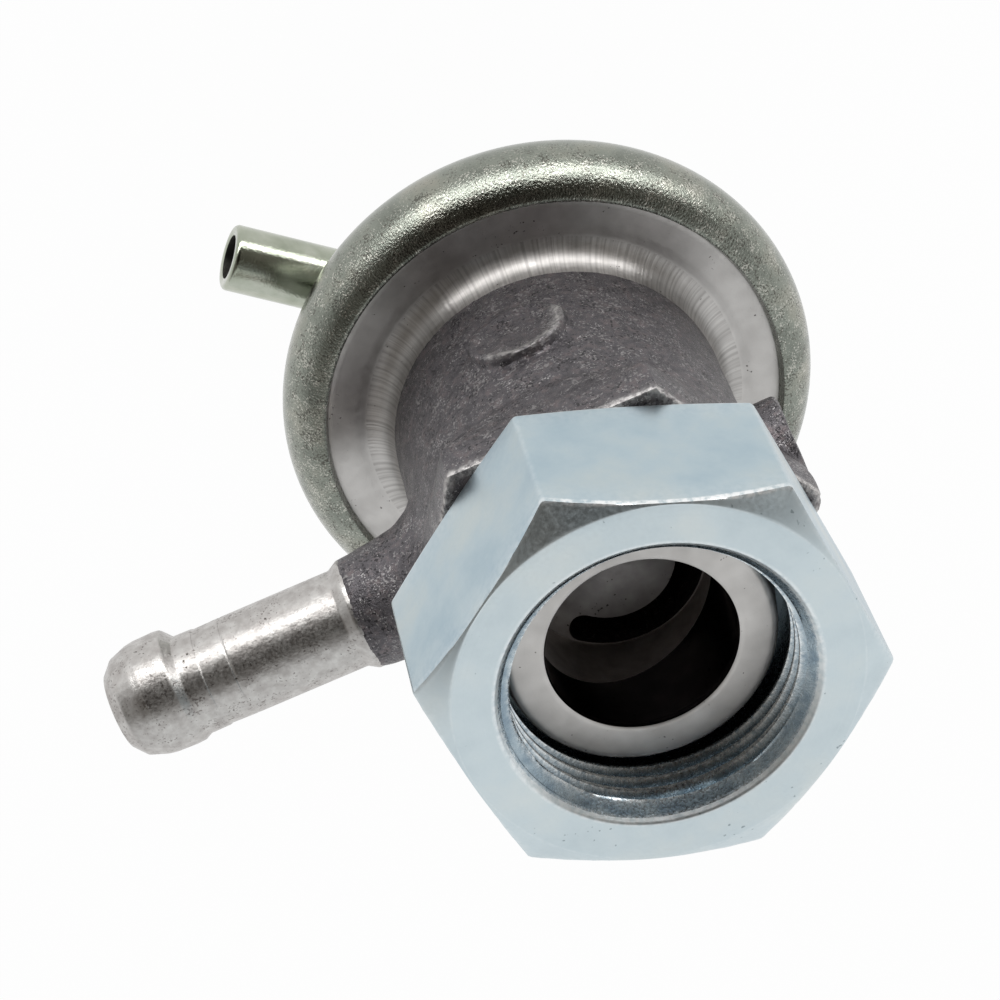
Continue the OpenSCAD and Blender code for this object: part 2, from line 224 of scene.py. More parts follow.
def rounded(across: np.ndarray, along: np.ndarray, radius: float) -> np.ndarray:
    """Join two side distances into a solid with rounded edges.

    Args:
        across: Distance to the solid's outline, seen along its axis.
        along: Distance to its end planes.
        radius: Radius of the rounded edge.

    Returns:
        Distances to the rounded solid.
    """
    a = across + radius
    b = along + radius
    return np.hypot(np.maximum(a, 0), np.maximum(b, 0)) + np.minimum(np.maximum(a, b), 0) - radius


def polar(radius: np.ndarray | float, angle: np.ndarray, height: np.ndarray | float) -> np.ndarray:
    """Points by their radius, angle and height."""
    return np.stack(np.broadcast_arrays(radius * np.cos(angle), radius * np.sin(angle), height), -1)


def faces_of(*corners: np.ndarray) -> np.ndarray:
    """Faces from the point numbers of their four corners."""
    return np.stack(corners, -1).reshape(-1, 4)


def cell_uv(u: np.ndarray, u2: np.ndarray, v: np.ndarray, v2: np.ndarray) -> np.ndarray:
    """Map coordinates of the corners of cells, by their low and high sides."""
    corners = [np.stack(pair, -1) for pair in ((u, v), (u2, v), (u2, v2), (u, v2))]
    return np.stack(corners, 2).reshape(-1, 4, 2)


@dataclass
class Shell:
    """A skin in millimetres, with a surface direction and a finish for each face.

    Attributes:
        points: Corner positions.
        quads: Corner numbers of each face.
        uv: Turn round the axis and length along the section, for each face corner.
        skins: Finish number of each face.
        wear: How far the colour is lightened at each corner, from 0 to 1: wear, and painted highlight on lit
            edges.
    """

    points: np.ndarray
    quads: np.ndarray
    uv: np.ndarray
    skins: np.ndarray
    wear: np.ndarray

    @classmethod
    def of_grid(cls, grid: np.ndarray, skins: Sequence[int], wear: np.ndarray | None = None,
                closed: bool = True) -> "Shell":
        """Close a grid of points round its second axis, and along its first where that is asked.

        Args:
            grid: Points as rows by columns by three.
            skins: Finish number of the faces after each row.
            wear: Wear of each point, none if left out.
            closed: Whether the last row is joined to the first.

        Returns:
            The shell.
        """
        rows, columns = grid.shape[:2]
        bands = rows if closed else rows - 1
        i, j = np.meshgrid(np.arange(bands), np.arange(columns), indexing="ij")
        i2 = (i + 1) % rows
        j2 = (j + 1) % columns
        quads = faces_of(i * columns + j, i * columns + j2, i2 * columns + j2, i2 * columns + j)
        steps = np.linalg.norm(np.roll(grid, -1, 0) - grid, axis=2).mean(1)
        run = np.concatenate([[0.0], np.cumsum(steps)])
        uv = cell_uv(j / columns, (j + 1) / columns, run[i], run[i + 1])
        if wear is None:
            wear = np.zeros((rows, columns))
        each = np.repeat(np.asarray(skins)[:bands], columns)
        return cls(grid.reshape(-1, 3), quads, uv, each, wear.reshape(-1))

    def moved(self, matrix: Matrix) -> "Shell":
        """Turn and shift the shell.

        Args:
            matrix: Turn and shift, in millimetres.

        Returns:
            The moved shell.
        """
        turn = np.array(matrix.to_3x3())
        shift = np.array(matrix.translation)
        return Shell(self.points @ turn.T + shift, self.quads, self.uv, self.skins, self.wear)


def lathe(profile: Sequence[Point], columns: int = 192, skins: Sequence[int] | int = 0,
          wobble: Callable[[np.ndarray, np.ndarray], np.ndarray] | None = None) -> Shell:
    """Turn a closed section round the Z axis.

    Args:
        profile: Radius and height of each corner, round the section.
        columns: Number of steps round the axis.
        skins: Finish number of each stretch after a corner, or one for all.
        wobble: Change of radius by angle and height, if the piece isn't truly round.

    Returns:
        The turned shell.
    """
    section = np.asarray(profile, float)
    angles = np.arange(columns) * TURN / columns
    radius = np.repeat(section[:, :1], columns, 1)
    height = np.repeat(section[:, 1:], columns, 1)
    if wobble is not None:
        radius = radius + wobble(np.broadcast_to(angles, radius.shape), height)
    grid = polar(radius, angles, height)
    each = [skins] * len(section) if isinstance(skins, int) else list(skins)
    return Shell.of_grid(grid, each)


def surface_nets(distance: Field, low: Sequence[float], high: Sequence[float], pitch: float) -> Shell:
    """Skin a distance field with even quads.

    Args:
        distance: Signed distance of points, negative inside.
        low: Lowest corner of the box that is searched.
        high: Highest corner of that box.
        pitch: Size of a quad.

    Returns:
        The closed skin.
    """
    origin = np.asarray(low, float)
    counts = np.ceil((np.asarray(high) - origin) / pitch).astype(int) + 1
    axes = [origin[k] + pitch * np.arange(counts[k]) for k in range(3)]
    value = distance(np.stack(np.meshgrid(*axes, indexing="ij"), -1))
    cells = tuple(counts - 1)
    total = np.zeros(cells + (3,))
    found = np.zeros(cells)
    for axis in range(3):
        side = [k for k in range(3) if k != axis]
        for step in ((0, 0), (0, 1), (1, 0), (1, 1)):
            first = [slice(0, c) for c in cells]
            for k, s in zip(side, step):
                first[k] = slice(s, s + cells[k])
            second = list(first)
            second[axis] = slice(1, 1 + cells[axis])
            a, b = value[tuple(first)], value[tuple(second)]
            cross = (a < 0) != (b < 0)
            total[..., axis] += np.where(cross, a / np.where(cross, a - b, 1.0), 0.0)
            for k, s in zip(side, step):
                total[..., k] += cross * s
            found += cross
    live = found > 0
    number = np.full(cells, -1)
    number[live] = np.arange(live.sum())
    points = origin + (np.argwhere(live) + total[live] / found[live][:, None]) * pitch
    quads = []
    for axis in range(3):
        side = [k for k in range(3) if k != axis]
        first = [slice(1, c) for c in cells]
        first[axis] = slice(0, cells[axis])
        second = list(first)
        second[axis] = slice(1, 1 + cells[axis])
        low_in, high_in = value[tuple(first)] < 0, value[tuple(second)] < 0
        at = np.argwhere(low_in != high_in)
        at[:, side] += 1
        flip = low_in[low_in != high_in]
        ring = []
        for step in ((0, 0), (1, 0), (1, 1), (0, 1)):
            cell = at.copy()
            cell[:, side[0]] -= step[0]
            cell[:, side[1]] -= step[1]
            ring.append(number[tuple(cell.T)])
        ring = np.stack(ring, -1)
        turned = flip if axis != 1 else ~flip
        ring[~turned] = ring[~turned][:, ::-1]
        quads.append(ring)
    faces = np.concatenate(quads)
    nudge = 0.01
    least_slope = 0.25
    # Three steps along the slope bring the points onto the surface itself.
    for _ in range(3):
        slope = np.stack([(distance(points + way) - distance(points - way)) / (2 * nudge)
                          for way in nudge * np.eye(3)], -1)
        steep = np.maximum((slope ** 2).sum(1, keepdims=True), least_slope)
        move = -distance(points)[:, None] * slope / steep
        points = points + np.clip(move, -pitch / 2, pitch / 2)
    no_uv = np.zeros((len(faces), 4, 2))
    return Shell(points, faces, no_uv, np.zeros(len(faces), int), np.zeros(len(points)))


def make_piece(name: str, shells: Sequence[Shell], finishes: Sequence[Material],
               crease: float = 35.0) -> Piece:
    """Join shells into one mesh object at the origin.

    Args:
        name: Name of the piece.
        shells: Skins in millimetres, which are closed once their shared points are welded.
        finishes: Materials by finish number.
        crease: Angle in degrees above which an edge is sharp.

    Returns:
        The new object.
    """
    weld = 2e-6
    speck = 1e-7
    offsets = np.cumsum([0] + [len(s.points) for s in shells])
    points = np.concatenate([s.points for s in shells]) * MM
    quads = np.concatenate([s.quads + o for s, o in zip(shells, offsets)])
    mesh = bpy.data.meshes.new(name)
    mesh.from_pydata(points.tolist(), [], quads.tolist())
    turned = np.concatenate([s.uv for s in shells]).astype(np.float32).ravel()
    mesh.uv_layers.new(name="turned").data.foreach_set("uv", turned)
    skins = np.concatenate([s.skins for s in shells]).astype(np.int32)
    mesh.polygons.foreach_set("material_index", skins)
    worn = mesh.attributes.new("wear", "FLOAT", "POINT")
    worn.data.foreach_set("value", np.concatenate([s.wear for s in shells]).astype(np.float32))
    bm = bmesh.new()
    bm.from_mesh(mesh)
    bmesh.ops.remove_doubles(bm, verts=bm.verts, dist=weld)
    bmesh.ops.dissolve_degenerate(bm, edges=bm.edges, dist=speck)
    bmesh.ops.recalc_face_normals(bm, faces=bm.faces)
    bm.to_mesh(mesh)
    bm.free()
    mesh.polygons.foreach_set("use_smooth", np.ones(len(mesh.polygons), bool))
    mesh.set_sharp_from_angle(angle=math.radians(crease))
    for finish in finishes:
        mesh.materials.append(finish)
    piece = bpy.data.objects.new(name, mesh)
    bpy.context.scene.collection.objects.link(piece)
    return piece


@dataclass(frozen=True)
class Speckle:
    """Small ragged spots of another colour, such as pores and stains, and light specks that are painted
    glints, in loose clusters.

    Attributes:
        size_mm: Size of the spots.
        level: Height of the pattern that a spot starts at; 0.5 covers half, 0.7 leaves few.
        colour: Colour of the spots, sRGB hex.
    """

    size_mm: float
    level: float
    colour: str

    def over(self, tree: Tree, place: Socket, colour: Socket) -> Socket:
        """Lay the spots over a colour.

        Args:
            tree: The material's tree.
            place: Coordinates in metres.
            colour: The colour under the spots.

        Returns:
            The colour with the spots.
        """
        scale = 1 / (self.size_mm * MM)
        clusters_per_spot = 0.13
        cluster_weight = 0.6
        soft_edge = 0.07
        spots = noise(tree, place, scale, 1.0)
        cluster = noise(tree, place, clusters_per_spot * scale, 2.0)
        both = maths(tree, "MULTIPLY_ADD", cluster, cluster_weight, spots)
        # The clusters lift the pattern by half of their weight.
        start = self.level + cluster_weight / 2
        return mix(tree, stretch(tree, both, start, start + soft_edge), colour, linear(self.colour))


@dataclass(frozen=True)
class Finish:
    """How a metal or rubber surface looks: its colours, grain, tool marks, spots (some painted glints),
    painted shade streaks and lightened edges (wear and painted highlight).

    Attributes:
        name: The material's name.
        colours: Dark, middle and light colour, sRGB hex.
        mottle_mm: Size of the colour patches.
        metallic: Share of metal in the surface.
        roughness: Least and most roughness.
        grain_mm: Size of the surface grain.
        grain_depth_mm: Height of the grain.
        grain_girth_mm: Way round the piece, for a grain drawn out across it; none if 0.
        lump_mm: Size of soft lumps under the grain.
        lump_depth_mm: Height of those lumps.
        anisotropy: How far gloss is drawn out across tool marks.
        line_mm: Spacing of tool marks, none if 0.
        line_depth_mm: Depth of tool marks.
        chatter: Number of chatter ribs round the axis, none if 0.
        chatter_depth_mm: Height of the chatter ribs.
        chatter_shade_colour: Colour of the chatter's streaks, a painted shade for their broken reflection,
            sRGB hex.
        speckles: Spots laid over the colour.
        wear_and_highlight_colour: Colour of worn edges and painted edge highlights, sRGB hex, none if empty.
        worn_mm: Size of the patches that wear leaves.
    """

    name: str
    colours: tuple[str, str, str]
    mottle_mm: float
    metallic: float
    roughness: tuple[float, float]
    grain_mm: float
    grain_depth_mm: float
    grain_girth_mm: float = 0.0
    lump_mm: float = 0.0
    lump_depth_mm: float = 0.0
    anisotropy: float = 0.0
    line_mm: float = 0.0
    line_depth_mm: float = 0.0
    chatter: float = 0.0
    chatter_depth_mm: float = 0.0
    chatter_shade_colour: str = "#7E7977"
    speckles: tuple[Speckle, ...] = ()
    wear_and_highlight_colour: str = ""
    worn_mm: float = 0.7

    def colour(self, tree: Tree, place: Socket) -> Socket:
        """Build the colour: mottled, spotted, with painted shade streaks for the chatter, and edges lightened
        for wear and painted highlight.

        Args:
            tree: The material's tree.
            place: Coordinates in metres.

        Returns:
            The colour.
        """
        patch = noise(tree, place, 1 / (self.mottle_mm * MM), 4.0, 0.55)
        ramp = add(tree, "ShaderNodeValToRGB", {"Fac": patch})
        stops = ramp.color_ramp.elements
        stops.new(0.5)
        for stop, at, colour in zip(stops, (0.3, 0.5, 0.7), self.colours):
            stop.position = at
            stop.color = linear(colour)
        shade = ramp.outputs["Color"]
        for speckle in self.speckles:
            shade = speckle.over(tree, place, shade)
        # Painted shade: dark streaks across the turn stand in for the chatter's broken reflection.
        if self.chatter:
            way = add(tree, "ShaderNodeSeparateXYZ", {"Vector": turned_uv(tree)}).outputs["X"]
            ribs = noise(tree, way, self.chatter, 2.0, dimensions="1D")
            shade = mix(tree, stretch(tree, ribs, 0.42, 0.66, 0.0, 0.4), shade, linear(self.chatter_shade_colour))
        # Edges lightened through the wear attribute: wear, and painted highlight on the lit edges.
        if self.wear_and_highlight_colour:
            worn = add(tree, "ShaderNodeAttribute", attribute_name="wear").outputs["Fac"]
            left = stretch(tree, noise(tree, place, 1 / (self.worn_mm * MM), 2.0), 0.35, 0.6, 0.2, 1.2)
            shade = mix(tree, maths(tree, "MULTIPLY", worn, left), shade, linear(self.wear_and_highlight_colour))
        return shade

    def bumps(self, tree: Tree, place: Socket, grain: Socket) -> Socket:
        """Build the relief: grain, soft lumps, tool marks and chatter.

        Args:
            tree: The material's tree.
            place: Coordinates in metres.
            grain: The grain's height.

        Returns:
            The bumped normal.
        """
        layers = [(grain, self.grain_depth_mm)]
        if self.lump_mm:
            layers.append((noise(tree, place, 1 / (self.lump_mm * MM), 2.0), self.lump_depth_mm))
        if self.line_mm:
            way = add(tree, "ShaderNodeSeparateXYZ", {"Vector": turned_uv(tree)}).outputs
            for axis, scale, depth in (("Y", 1 / self.line_mm, self.line_depth_mm),
                                       ("X", self.chatter, self.chatter_depth_mm)):
                if depth:
                    layers.append((noise(tree, way[axis], scale, 3.0, 0.6, "1D"), depth))
        under = {}
        for height, depth in layers:
            relief = {"Height": height, "Strength": 1.0, "Distance": depth * MM}
            normal = add(tree, "ShaderNodeBump", relief | under).outputs["Normal"]
            under = {"Normal": normal}
        return normal

    @cache
    def material(self) -> Material:
        """Build the node material, once for each finish.

        Returns:
            The material.
        """
        made = bpy.data.materials.new(self.name)
        made.use_nodes = True
        tree = made.node_tree
        tree.nodes.clear()
        place = add(tree, "ShaderNodeTexCoord").outputs["Object"]
        spread = place
        if self.grain_girth_mm:
            # The map's turn becomes a length round the piece, and the grain is 1.6 times as long across it.
            lengths = (self.grain_girth_mm * MM, MM / 1.6, 1.0)
            way = add(tree, "ShaderNodeMapping", {"Vector": turned_uv(tree), "Scale": lengths})
            spread = way.outputs["Vector"]
        grain = noise(tree, spread, 1 / (self.grain_mm * MM), 3.0, 0.6)
        shader = add(tree, "ShaderNodeBsdfPrincipled",
                     {"Base Color": self.colour(tree, place), "Metallic": self.metallic,
                      "Roughness": stretch(tree, grain, 0.3, 0.7, *self.roughness),
                      "Normal": self.bumps(tree, place, grain), "Anisotropic": self.anisotropy})
        if self.anisotropy:
            # A quarter turn draws the gloss out across the marks that run round the axis.
            shader.inputs["Anisotropic Rotation"].default_value = 0.25
            spin = add(tree, "ShaderNodeTangent", direction_type="UV_MAP", uv_map="turned")
            tree.links.new(spin.outputs["Tangent"], shader.inputs["Tangent"])
        add(tree, "ShaderNodeOutputMaterial", {"Surface": shader.outputs["BSDF"]})
        return made


# Die-cast aluminium with its as-cast skin: dark grey, coarse, with dark pits, light specks that are painted
# glints, and edges lightened for wear and painted highlight.
CAST_SKIN = Finish("aluminium_as_cast", ("#4F4C4F", "#605D60", "#72696A"),
                   mottle_mm=0.8, metallic=0.75, roughness=(0.30, 0.5), grain_mm=0.16, grain_depth_mm=0.07,
                   lump_mm=0.6, lump_depth_mm=0.05,
                   # The dark specks are pits; the two lighter kinds are painted glints.
                   speckles=(Speckle(0.26, 0.62, "#3A383A"), Speckle(0.24, 0.62, "#8B8888"),
                              Speckle(0.15, 0.71, "#B5B2B2")),
                   wear_and_highlight_colour="#C2BFBD", worn_mm=0.5)
# Cast aluminium cut on a lathe: light grey metal, gloss drawn out in fans, a few dark pores.
TURNED = Finish("aluminium_lathe_turned", ("#B5B2AF", "#C0BDBA", "#CAC7C4"),
                mottle_mm=2.0, metallic=1.0, roughness=(0.28, 0.38), grain_mm=0.5, grain_depth_mm=0.002,
                anisotropy=0.85, line_mm=0.14, line_depth_mm=0.003,
                speckles=(Speckle(0.3, 0.78, "#5A5654"),))
# The fillet beside the barrel, where the tool chattered: the same metal with fine dark streaks across the
# turn, painted shade for the chatter's broken reflection.
CHATTERED = replace(TURNED, name="aluminium_turned_chattered", chatter=330.0, chatter_depth_mm=0.014)
# The hose spigot: turned, then scuffed and specked by handling.
SCUFFED = Finish("aluminium_turned_scuffed", ("#ABA7A4", "#BBB8B5", "#CAC8C5"),
                 mottle_mm=0.9, metallic=1.0, roughness=(0.3, 0.48), grain_mm=0.22, grain_depth_mm=0.016,
                 anisotropy=0.3, line_mm=0.3, line_depth_mm=0.008,
                 lump_mm=0.9, lump_depth_mm=0.045,
                 speckles=(Speckle(0.2, 0.66, "#8C8784"), Speckle(0.32, 0.79, "#57534F")))
# The floor of the inlet, faced by the drill: duller than the turned faces, with the same fans.
DRILLED = Finish("aluminium_drilled", ("#8D8988", "#989493", "#A29F9D"),
                 mottle_mm=1.5, metallic=1.0, roughness=(0.28, 0.4), grain_mm=0.4, grain_depth_mm=0.004,
                 anisotropy=0.85, line_mm=0.2, line_depth_mm=0.006,
                 speckles=(Speckle(0.3, 0.72, "#4A4645"),))
# The foot of the inlet's wall, left by the drill: duller than the reamed part above it, and coloured much
# lighter as painted light.
BORED_AND_LIT = Finish("aluminium_bored_painted_light", ("#C8C0BC", "#D4CDC8", "#DED8D4"),
               mottle_mm=1.5, metallic=1.0, roughness=(0.42, 0.55), grain_mm=0.4, grain_depth_mm=0.006,
               anisotropy=0.6, line_mm=0.2, line_depth_mm=0.006)
# The reamed wall of the inlet: smooth, and coloured dark as painted shade.
REAMED_AND_SHADED = Finish("aluminium_reamed_painted_shade", ("#4A4749", "#545153", "#5F5B5C"),
                mottle_mm=2.0, metallic=1.0, roughness=(0.16, 0.26), grain_mm=0.5, grain_depth_mm=0.002,
                line_mm=0.5, line_depth_mm=0.001, speckles=(Speckle(0.3, 0.74, "#2E2C2C"),))
# Steel with blue zinc plating over a turned face: pale blue, satin, with fine rings, and edges lightened for
# bare metal and painted highlight.
BLUE_ZINC = Finish("steel_turned_blue_zinc_plated", ("#C3CFD4", "#CCD7DB", "#D3DBDC"),
                   mottle_mm=6.0, metallic=1.0, roughness=(0.30, 0.40), grain_mm=0.3, grain_depth_mm=0.003,
                   anisotropy=0.4, line_mm=0.22, line_depth_mm=0.004,
                   wear_and_highlight_colour="#F4F6F6", worn_mm=0.5,
                   speckles=(Speckle(0.4, 0.78, "#9AA6AA"),))
# The same plating over the drawn flats of the hexagon: bluer, with soft clouds.
DRAWN_ZINC = Finish("steel_drawn_blue_zinc_plated", ("#A3B7C2", "#B3C3CA", "#BFC9CA"),
                    mottle_mm=7.0, metallic=1.0, roughness=(0.30, 0.38), grain_mm=0.3, grain_depth_mm=0.003,
                    wear_and_highlight_colour="#F4F6F6", worn_mm=0.5)
# The thread's plating: coloured dark as painted shade in the turns, with crests lightened for bare metal and
# painted highlight.
THREAD_ZINC = Finish("steel_thread_zinc_plated", ("#8092A0", "#98A8B2", "#B0BDC4"),
                     mottle_mm=1.2, metallic=1.0, roughness=(0.2, 0.36), grain_mm=0.2, grain_depth_mm=0.02,
                     wear_and_highlight_colour="#EDF1F2", worn_mm=0.35)
# Deep drawn steel sheet with faded yellow zinc plating: smooth, grey green, with soft clouds.
YELLOW_ZINC = Finish("steel_yellow_zinc_plated", ("#7C8078", "#8C9087", "#9C9B90"),
                     mottle_mm=4.0, metallic=1.0, roughness=(0.16, 0.28), grain_mm=0.3, grain_depth_mm=0.008,
                     lump_mm=1.2, lump_depth_mm=0.006)
# The same sheet where the rolling has opened its grain, with painted glitter over it: light specks are
# painted glints and dark specks painted shade in the grain.
ROLLED_ZINC = replace(YELLOW_ZINC, name="steel_yellow_zinc_rolled", roughness=(0.08, 0.18), grain_mm=0.18,
                      grain_depth_mm=0.055, grain_girth_mm=146.0, lump_mm=0.0,
                      speckles=(Speckle(0.18, 0.58, "#66665F"), Speckle(0.16, 0.6, "#BAB9B0")))
# The band between the two, with half of that grain and fainter painted glints and painted grain shade.
EASED_ZINC = replace(ROLLED_ZINC, name="steel_yellow_zinc_eased", roughness=(0.12, 0.23),
                     grain_depth_mm=0.025,
                     speckles=(Speckle(0.18, 0.6, "#75766F"), Speckle(0.16, 0.62, "#A3A39A")))
# Drawn tube with the same plating: smoother, with a yellow cast.
PIPE_ZINC = Finish("steel_tube_zinc_plated", ("#9AA090", "#A9AE9F", "#B9BCB0"),
                   mottle_mm=3.0, metallic=1.0, roughness=(0.05, 0.15), grain_mm=0.2, grain_depth_mm=0.02)
# The inside of the tube: unplated and dull.
TUBE_BORE = Finish("steel_tube_bare", ("#2A2A28", "#353532", "#41403C"),
                   mottle_mm=0.8, metallic=0.8, roughness=(0.5, 0.7), grain_mm=0.3, grain_depth_mm=0.02)
# Drawn and tempered spring wire: dark, a little oily.
SPRING_WIRE = Finish("spring_steel_drawn", ("#5E6266", "#70757A", "#83888C"),
                     mottle_mm=2.0, metallic=1.0, roughness=(0.28, 0.42), grain_mm=0.4, grain_depth_mm=0.004)
# Ground steel of the valve: bright, nearly a mirror.
GROUND_STEEL = Finish("steel_ground", ("#B4B7B9", "#BFC2C3", "#C9CBCC"),
                      mottle_mm=1.5, metallic=1.0, roughness=(0.14, 0.24), grain_mm=0.2, grain_depth_mm=0.002)
# Pressed plates with bright zinc: even pale grey.
PLATE_ZINC = Finish("steel_pressed_zinc_plated", ("#9FA3A3", "#ACAFAE", "#B8BAB8"),
                    mottle_mm=3.0, metallic=1.0, roughness=(0.28, 0.42), grain_mm=0.3, grain_depth_mm=0.006)
# Turned brass of the valve's holder.
BRASS = Finish("brass_turned", ("#AD985A", "#BCA768", "#C8B478"),
               mottle_mm=2.0, metallic=1.0, roughness=(0.22, 0.34), grain_mm=0.3, grain_depth_mm=0.004)
# Fabric reinforced rubber: black, matt, with a faint grain.
RUBBER = Finish("rubber_fabric_reinforced", ("#222223", "#2B2B2C", "#363636"),
                mottle_mm=1.0, metallic=0.0, roughness=(0.55, 0.75), grain_mm=0.3, grain_depth_mm=0.02)


class BodySkin(IntEnum):
    """Finishes of the body, by number."""

    CAST = 0
    TURNED = 1
    DRILLED = 2
    REAMED_AND_SHADED = 3
    SCUFFED = 4
    BORED_AND_LIT = 5
    CHATTERED = 6


class CoverSkin(IntEnum):
    """Finishes of the spring cover, by number."""

    DRAWN = 0
    EASED = 1
    ROLLED = 2


class NutSkin(IntEnum):
    """Finishes of the nut, by number."""

    TURNED = 0
    DRAWN = 1
    THREAD = 2


class PipeSkin(IntEnum):
    """Finishes of the vacuum pipe, by number."""

    PLATED = 0
    BARE = 1


@dataclass
class BodyCasting:
    """The cast body with its turned flange, inlet neck and return spigot, in millimetres."""

    barrel_r: float = 14.35
    flange_fillet: float = 2.4
    flange_top: float = RIM_Z + 3.4
    flange_base: float = RIM_Z - 2.74
    hex_af: float = 30.0
    hex_low: float = RIM_Z + 24.2
    hex_high: float = RIM_Z + 31.6
    hex_draft: float = 4.5
    hex_round: float = 0.35
    hex_blend: float = 0.9
    cone_start: float = 0.15
    cone_slope: float = 0.9
    flash_at: Point = (-0.45, 0.6)
    flash_half: Point = (1.0, 3.1)
    flash_root: float = 15.5
    flash_end: float = 16.95
    neck_r: float = 10.75
    groove_c: float = 11.0
    groove_r: float = 0.63
    inlet_r: float = 7.55
    floor_z: float = RIM_Z + 29.1
    ream_and_shade_rise: float = 4.3
    ream_and_shade_slant: float = 2.5
    slot_out_r: float = 7.45
    slot_in_r: float = 5.05
    slot_end: float = 133.0
    spigot_z: float = RIM_Z + 21.2
    boss_root: float = 15.0
    boss_end: float = 20.9
    boss_radii: Point = (5.45, 4.72)
    boss_round: float = 0.12
    boss_blend: float = 3.2
    socket_r: float = 3.6
    socket_depth: float = 4.0
    hose_bore: float = 2.5
    bead_foot: float = 6.6
    bead_shift: Point = (0.17, 0.27)
    pad_z: float = RIM_Z + 14.4
    pad_r: float = 4.2
    pad_rise: float = 1.0
    pad_round: float = 0.32
    pad_blend: float = 0.35
    pad_dish: float = 0.4
    pad_tilt: float = 0.09
    stub_z: float = RIM_Z + 22.6
    stub_r: float = 3.85
    stub_end: float = 17.2
    stub_round: float = 0.45
    stub_blend: float = 0.8
    lump_rise: float = 0.05
    mesh_pitch: float = 0.35
    chamber_r: float = 11.95
    roof_z: float = RIM_Z + 5.85
    mouth_r: float = 15.2
    rim_c: float = 18.65
    rim_in: float = 3.57
    neck_top: float = field(default_factory=lambda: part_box("body")[1][2] / MM)
    tip: float = field(default_factory=lambda: -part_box("body")[0][0] / MM)
    ring_z: float = field(default_factory=lambda: (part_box("nut_retaining_ring")[0][2]
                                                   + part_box("nut_retaining_ring")[1][2]) / 2 / MM)

    def across_flats(self, p: np.ndarray) -> np.ndarray:
        """Distance of points from the axis, measured square to the hexagon's nearest flat."""
        turns = np.radians((0, 60, 120))
        return np.max([np.abs(p[..., 1] * math.cos(a) - p[..., 0] * math.sin(a)) for a in turns], axis=0)

    def pad_face(self, x: np.ndarray, z: np.ndarray) -> np.ndarray:
        """Height of the pad's dished face above the main axis, sunk into the barrel at its far side."""
        dish = self.pad_dish * (1 - np.clip(np.hypot(x, z - self.pad_z) / self.pad_r, 0, 1) ** 3)
        return self.barrel_r + self.pad_rise - dish + self.pad_tilt * (z - self.pad_z - self.pad_r)

    def lightened_edges(self, p: np.ndarray) -> np.ndarray:
        """How far the casting's proud edges are lightened, at the hexagon's end and the pad's near edge; the
        pad's edge takes a painted highlight on its lit side.

        Args:
            p: Points in millimetres.

        Returns:
            Wear from 0 to 1.
        """
        x, y, z = p[:, 0], p[:, 1], p[:, 2]
        inset = 0.1
        end_width = 0.4
        edge_width = 0.45
        end = np.hypot(self.across_flats(p) - self.hex_af / 2 + inset, z - self.hex_high + inset)
        ring = np.hypot(x, z - self.pad_z) - self.pad_r + edge_width
        # Painted highlight: the pad's edge is lightened on its lit side only, and less and less towards the
        # other.
        away = np.maximum(0.6 - 0.5 * (z - self.pad_z + 0.6 * x), 0)
        edge = np.hypot(ring, y - self.pad_face(x, z)) + away
        return np.maximum(np.exp(-(end / end_width) ** 2), 0.8 * np.exp(-(edge / edge_width) ** 2))

    def lumps(self, p: np.ndarray) -> np.ndarray:
        """Height of the casting's soft unevenness, from crossed waves a few millimetres long.

        Args:
            p: Points in millimetres.

        Returns:
            Heights, up and down.
        """
        x, y, z = p[..., 0], p[..., 1], p[..., 2]
        broad = np.sin(1.3 * x + 0.5 * z) * np.sin(1.1 * y - 0.4 * x) * np.sin(0.9 * z + 0.3 * y)
        fine = np.sin(2.9 * x - 1.1 * z) * np.sin(2.3 * y + 0.7 * z + 1.0)
        return self.lump_rise * (broad + 0.5 * fine)

    def hexagon(self, p: np.ndarray) -> np.ndarray:
        """Signed distance to the wrench hexagon, which grows out of the barrel with a cone under its corners.

        Args:
            p: Points in millimetres.

        Returns:
            Distances, negative inside.
        """
        z = p[..., 2]
        middle = (self.hex_low + self.hex_high) / 2
        grown = np.clip((z - self.hex_low) / self.hex_draft, 0, 1)
        half = self.barrel_r + (self.hex_af / 2 - self.barrel_r) * grown * grown * (3 - 2 * grown)
        ends = np.abs(z - middle) - (self.hex_high - self.hex_low) / 2
        prism = rounded(self.across_flats(p) - half, ends, self.hex_round)
        cone = np.hypot(p[..., 0], p[..., 1]) - self.barrel_r - self.cone_start
        cone = cone - self.cone_slope * (z - self.hex_low)
        # The cone's distance is measured along the radius, and this brings it square to the slope.
        square = 0.74
        return np.maximum(prism, cone * square)

    def flash(self, p: np.ndarray) -> np.ndarray:
        """Signed distance to the rough flash that the mould left on the hexagon's side.

        Args:
            p: Points in millimetres.

        Returns:
            Distances, negative inside.
        """
        x, y, z = p[..., 0], p[..., 1], p[..., 2]
        middle = (self.hex_low + self.hex_high) / 2
        sides = np.maximum(np.abs(y - self.flash_at[0]) - self.flash_half[0],
                           np.abs(z - middle - self.flash_at[1]) - self.flash_half[1])
        end = x - self.flash_end - 0.15 * np.sin(2.3 * z + 0.4)
        return np.maximum(rounded(sides, end, self.stub_round), self.flash_root - x)

    def spigot_boss(self, p: np.ndarray) -> np.ndarray:
        """Signed distance to the boss that the return spigot stands on, with its uneven cast end.

        Args:
            p: Points in millimetres.

        Returns:
            Distances, negative inside.
        """
        x, y, z = p[..., 0], p[..., 1], p[..., 2]
        taper = np.interp(-x, (self.boss_root, self.boss_end), self.boss_radii)
        jag = 0.06 * np.sin(3.0 * np.arctan2(y, z - self.spigot_z) + 0.6)
        inner_end = 4.0
        ends = np.maximum(-x - self.boss_end - jag, x + inner_end)
        return rounded(np.hypot(y, z - self.spigot_z) - taper, ends, self.boss_round)

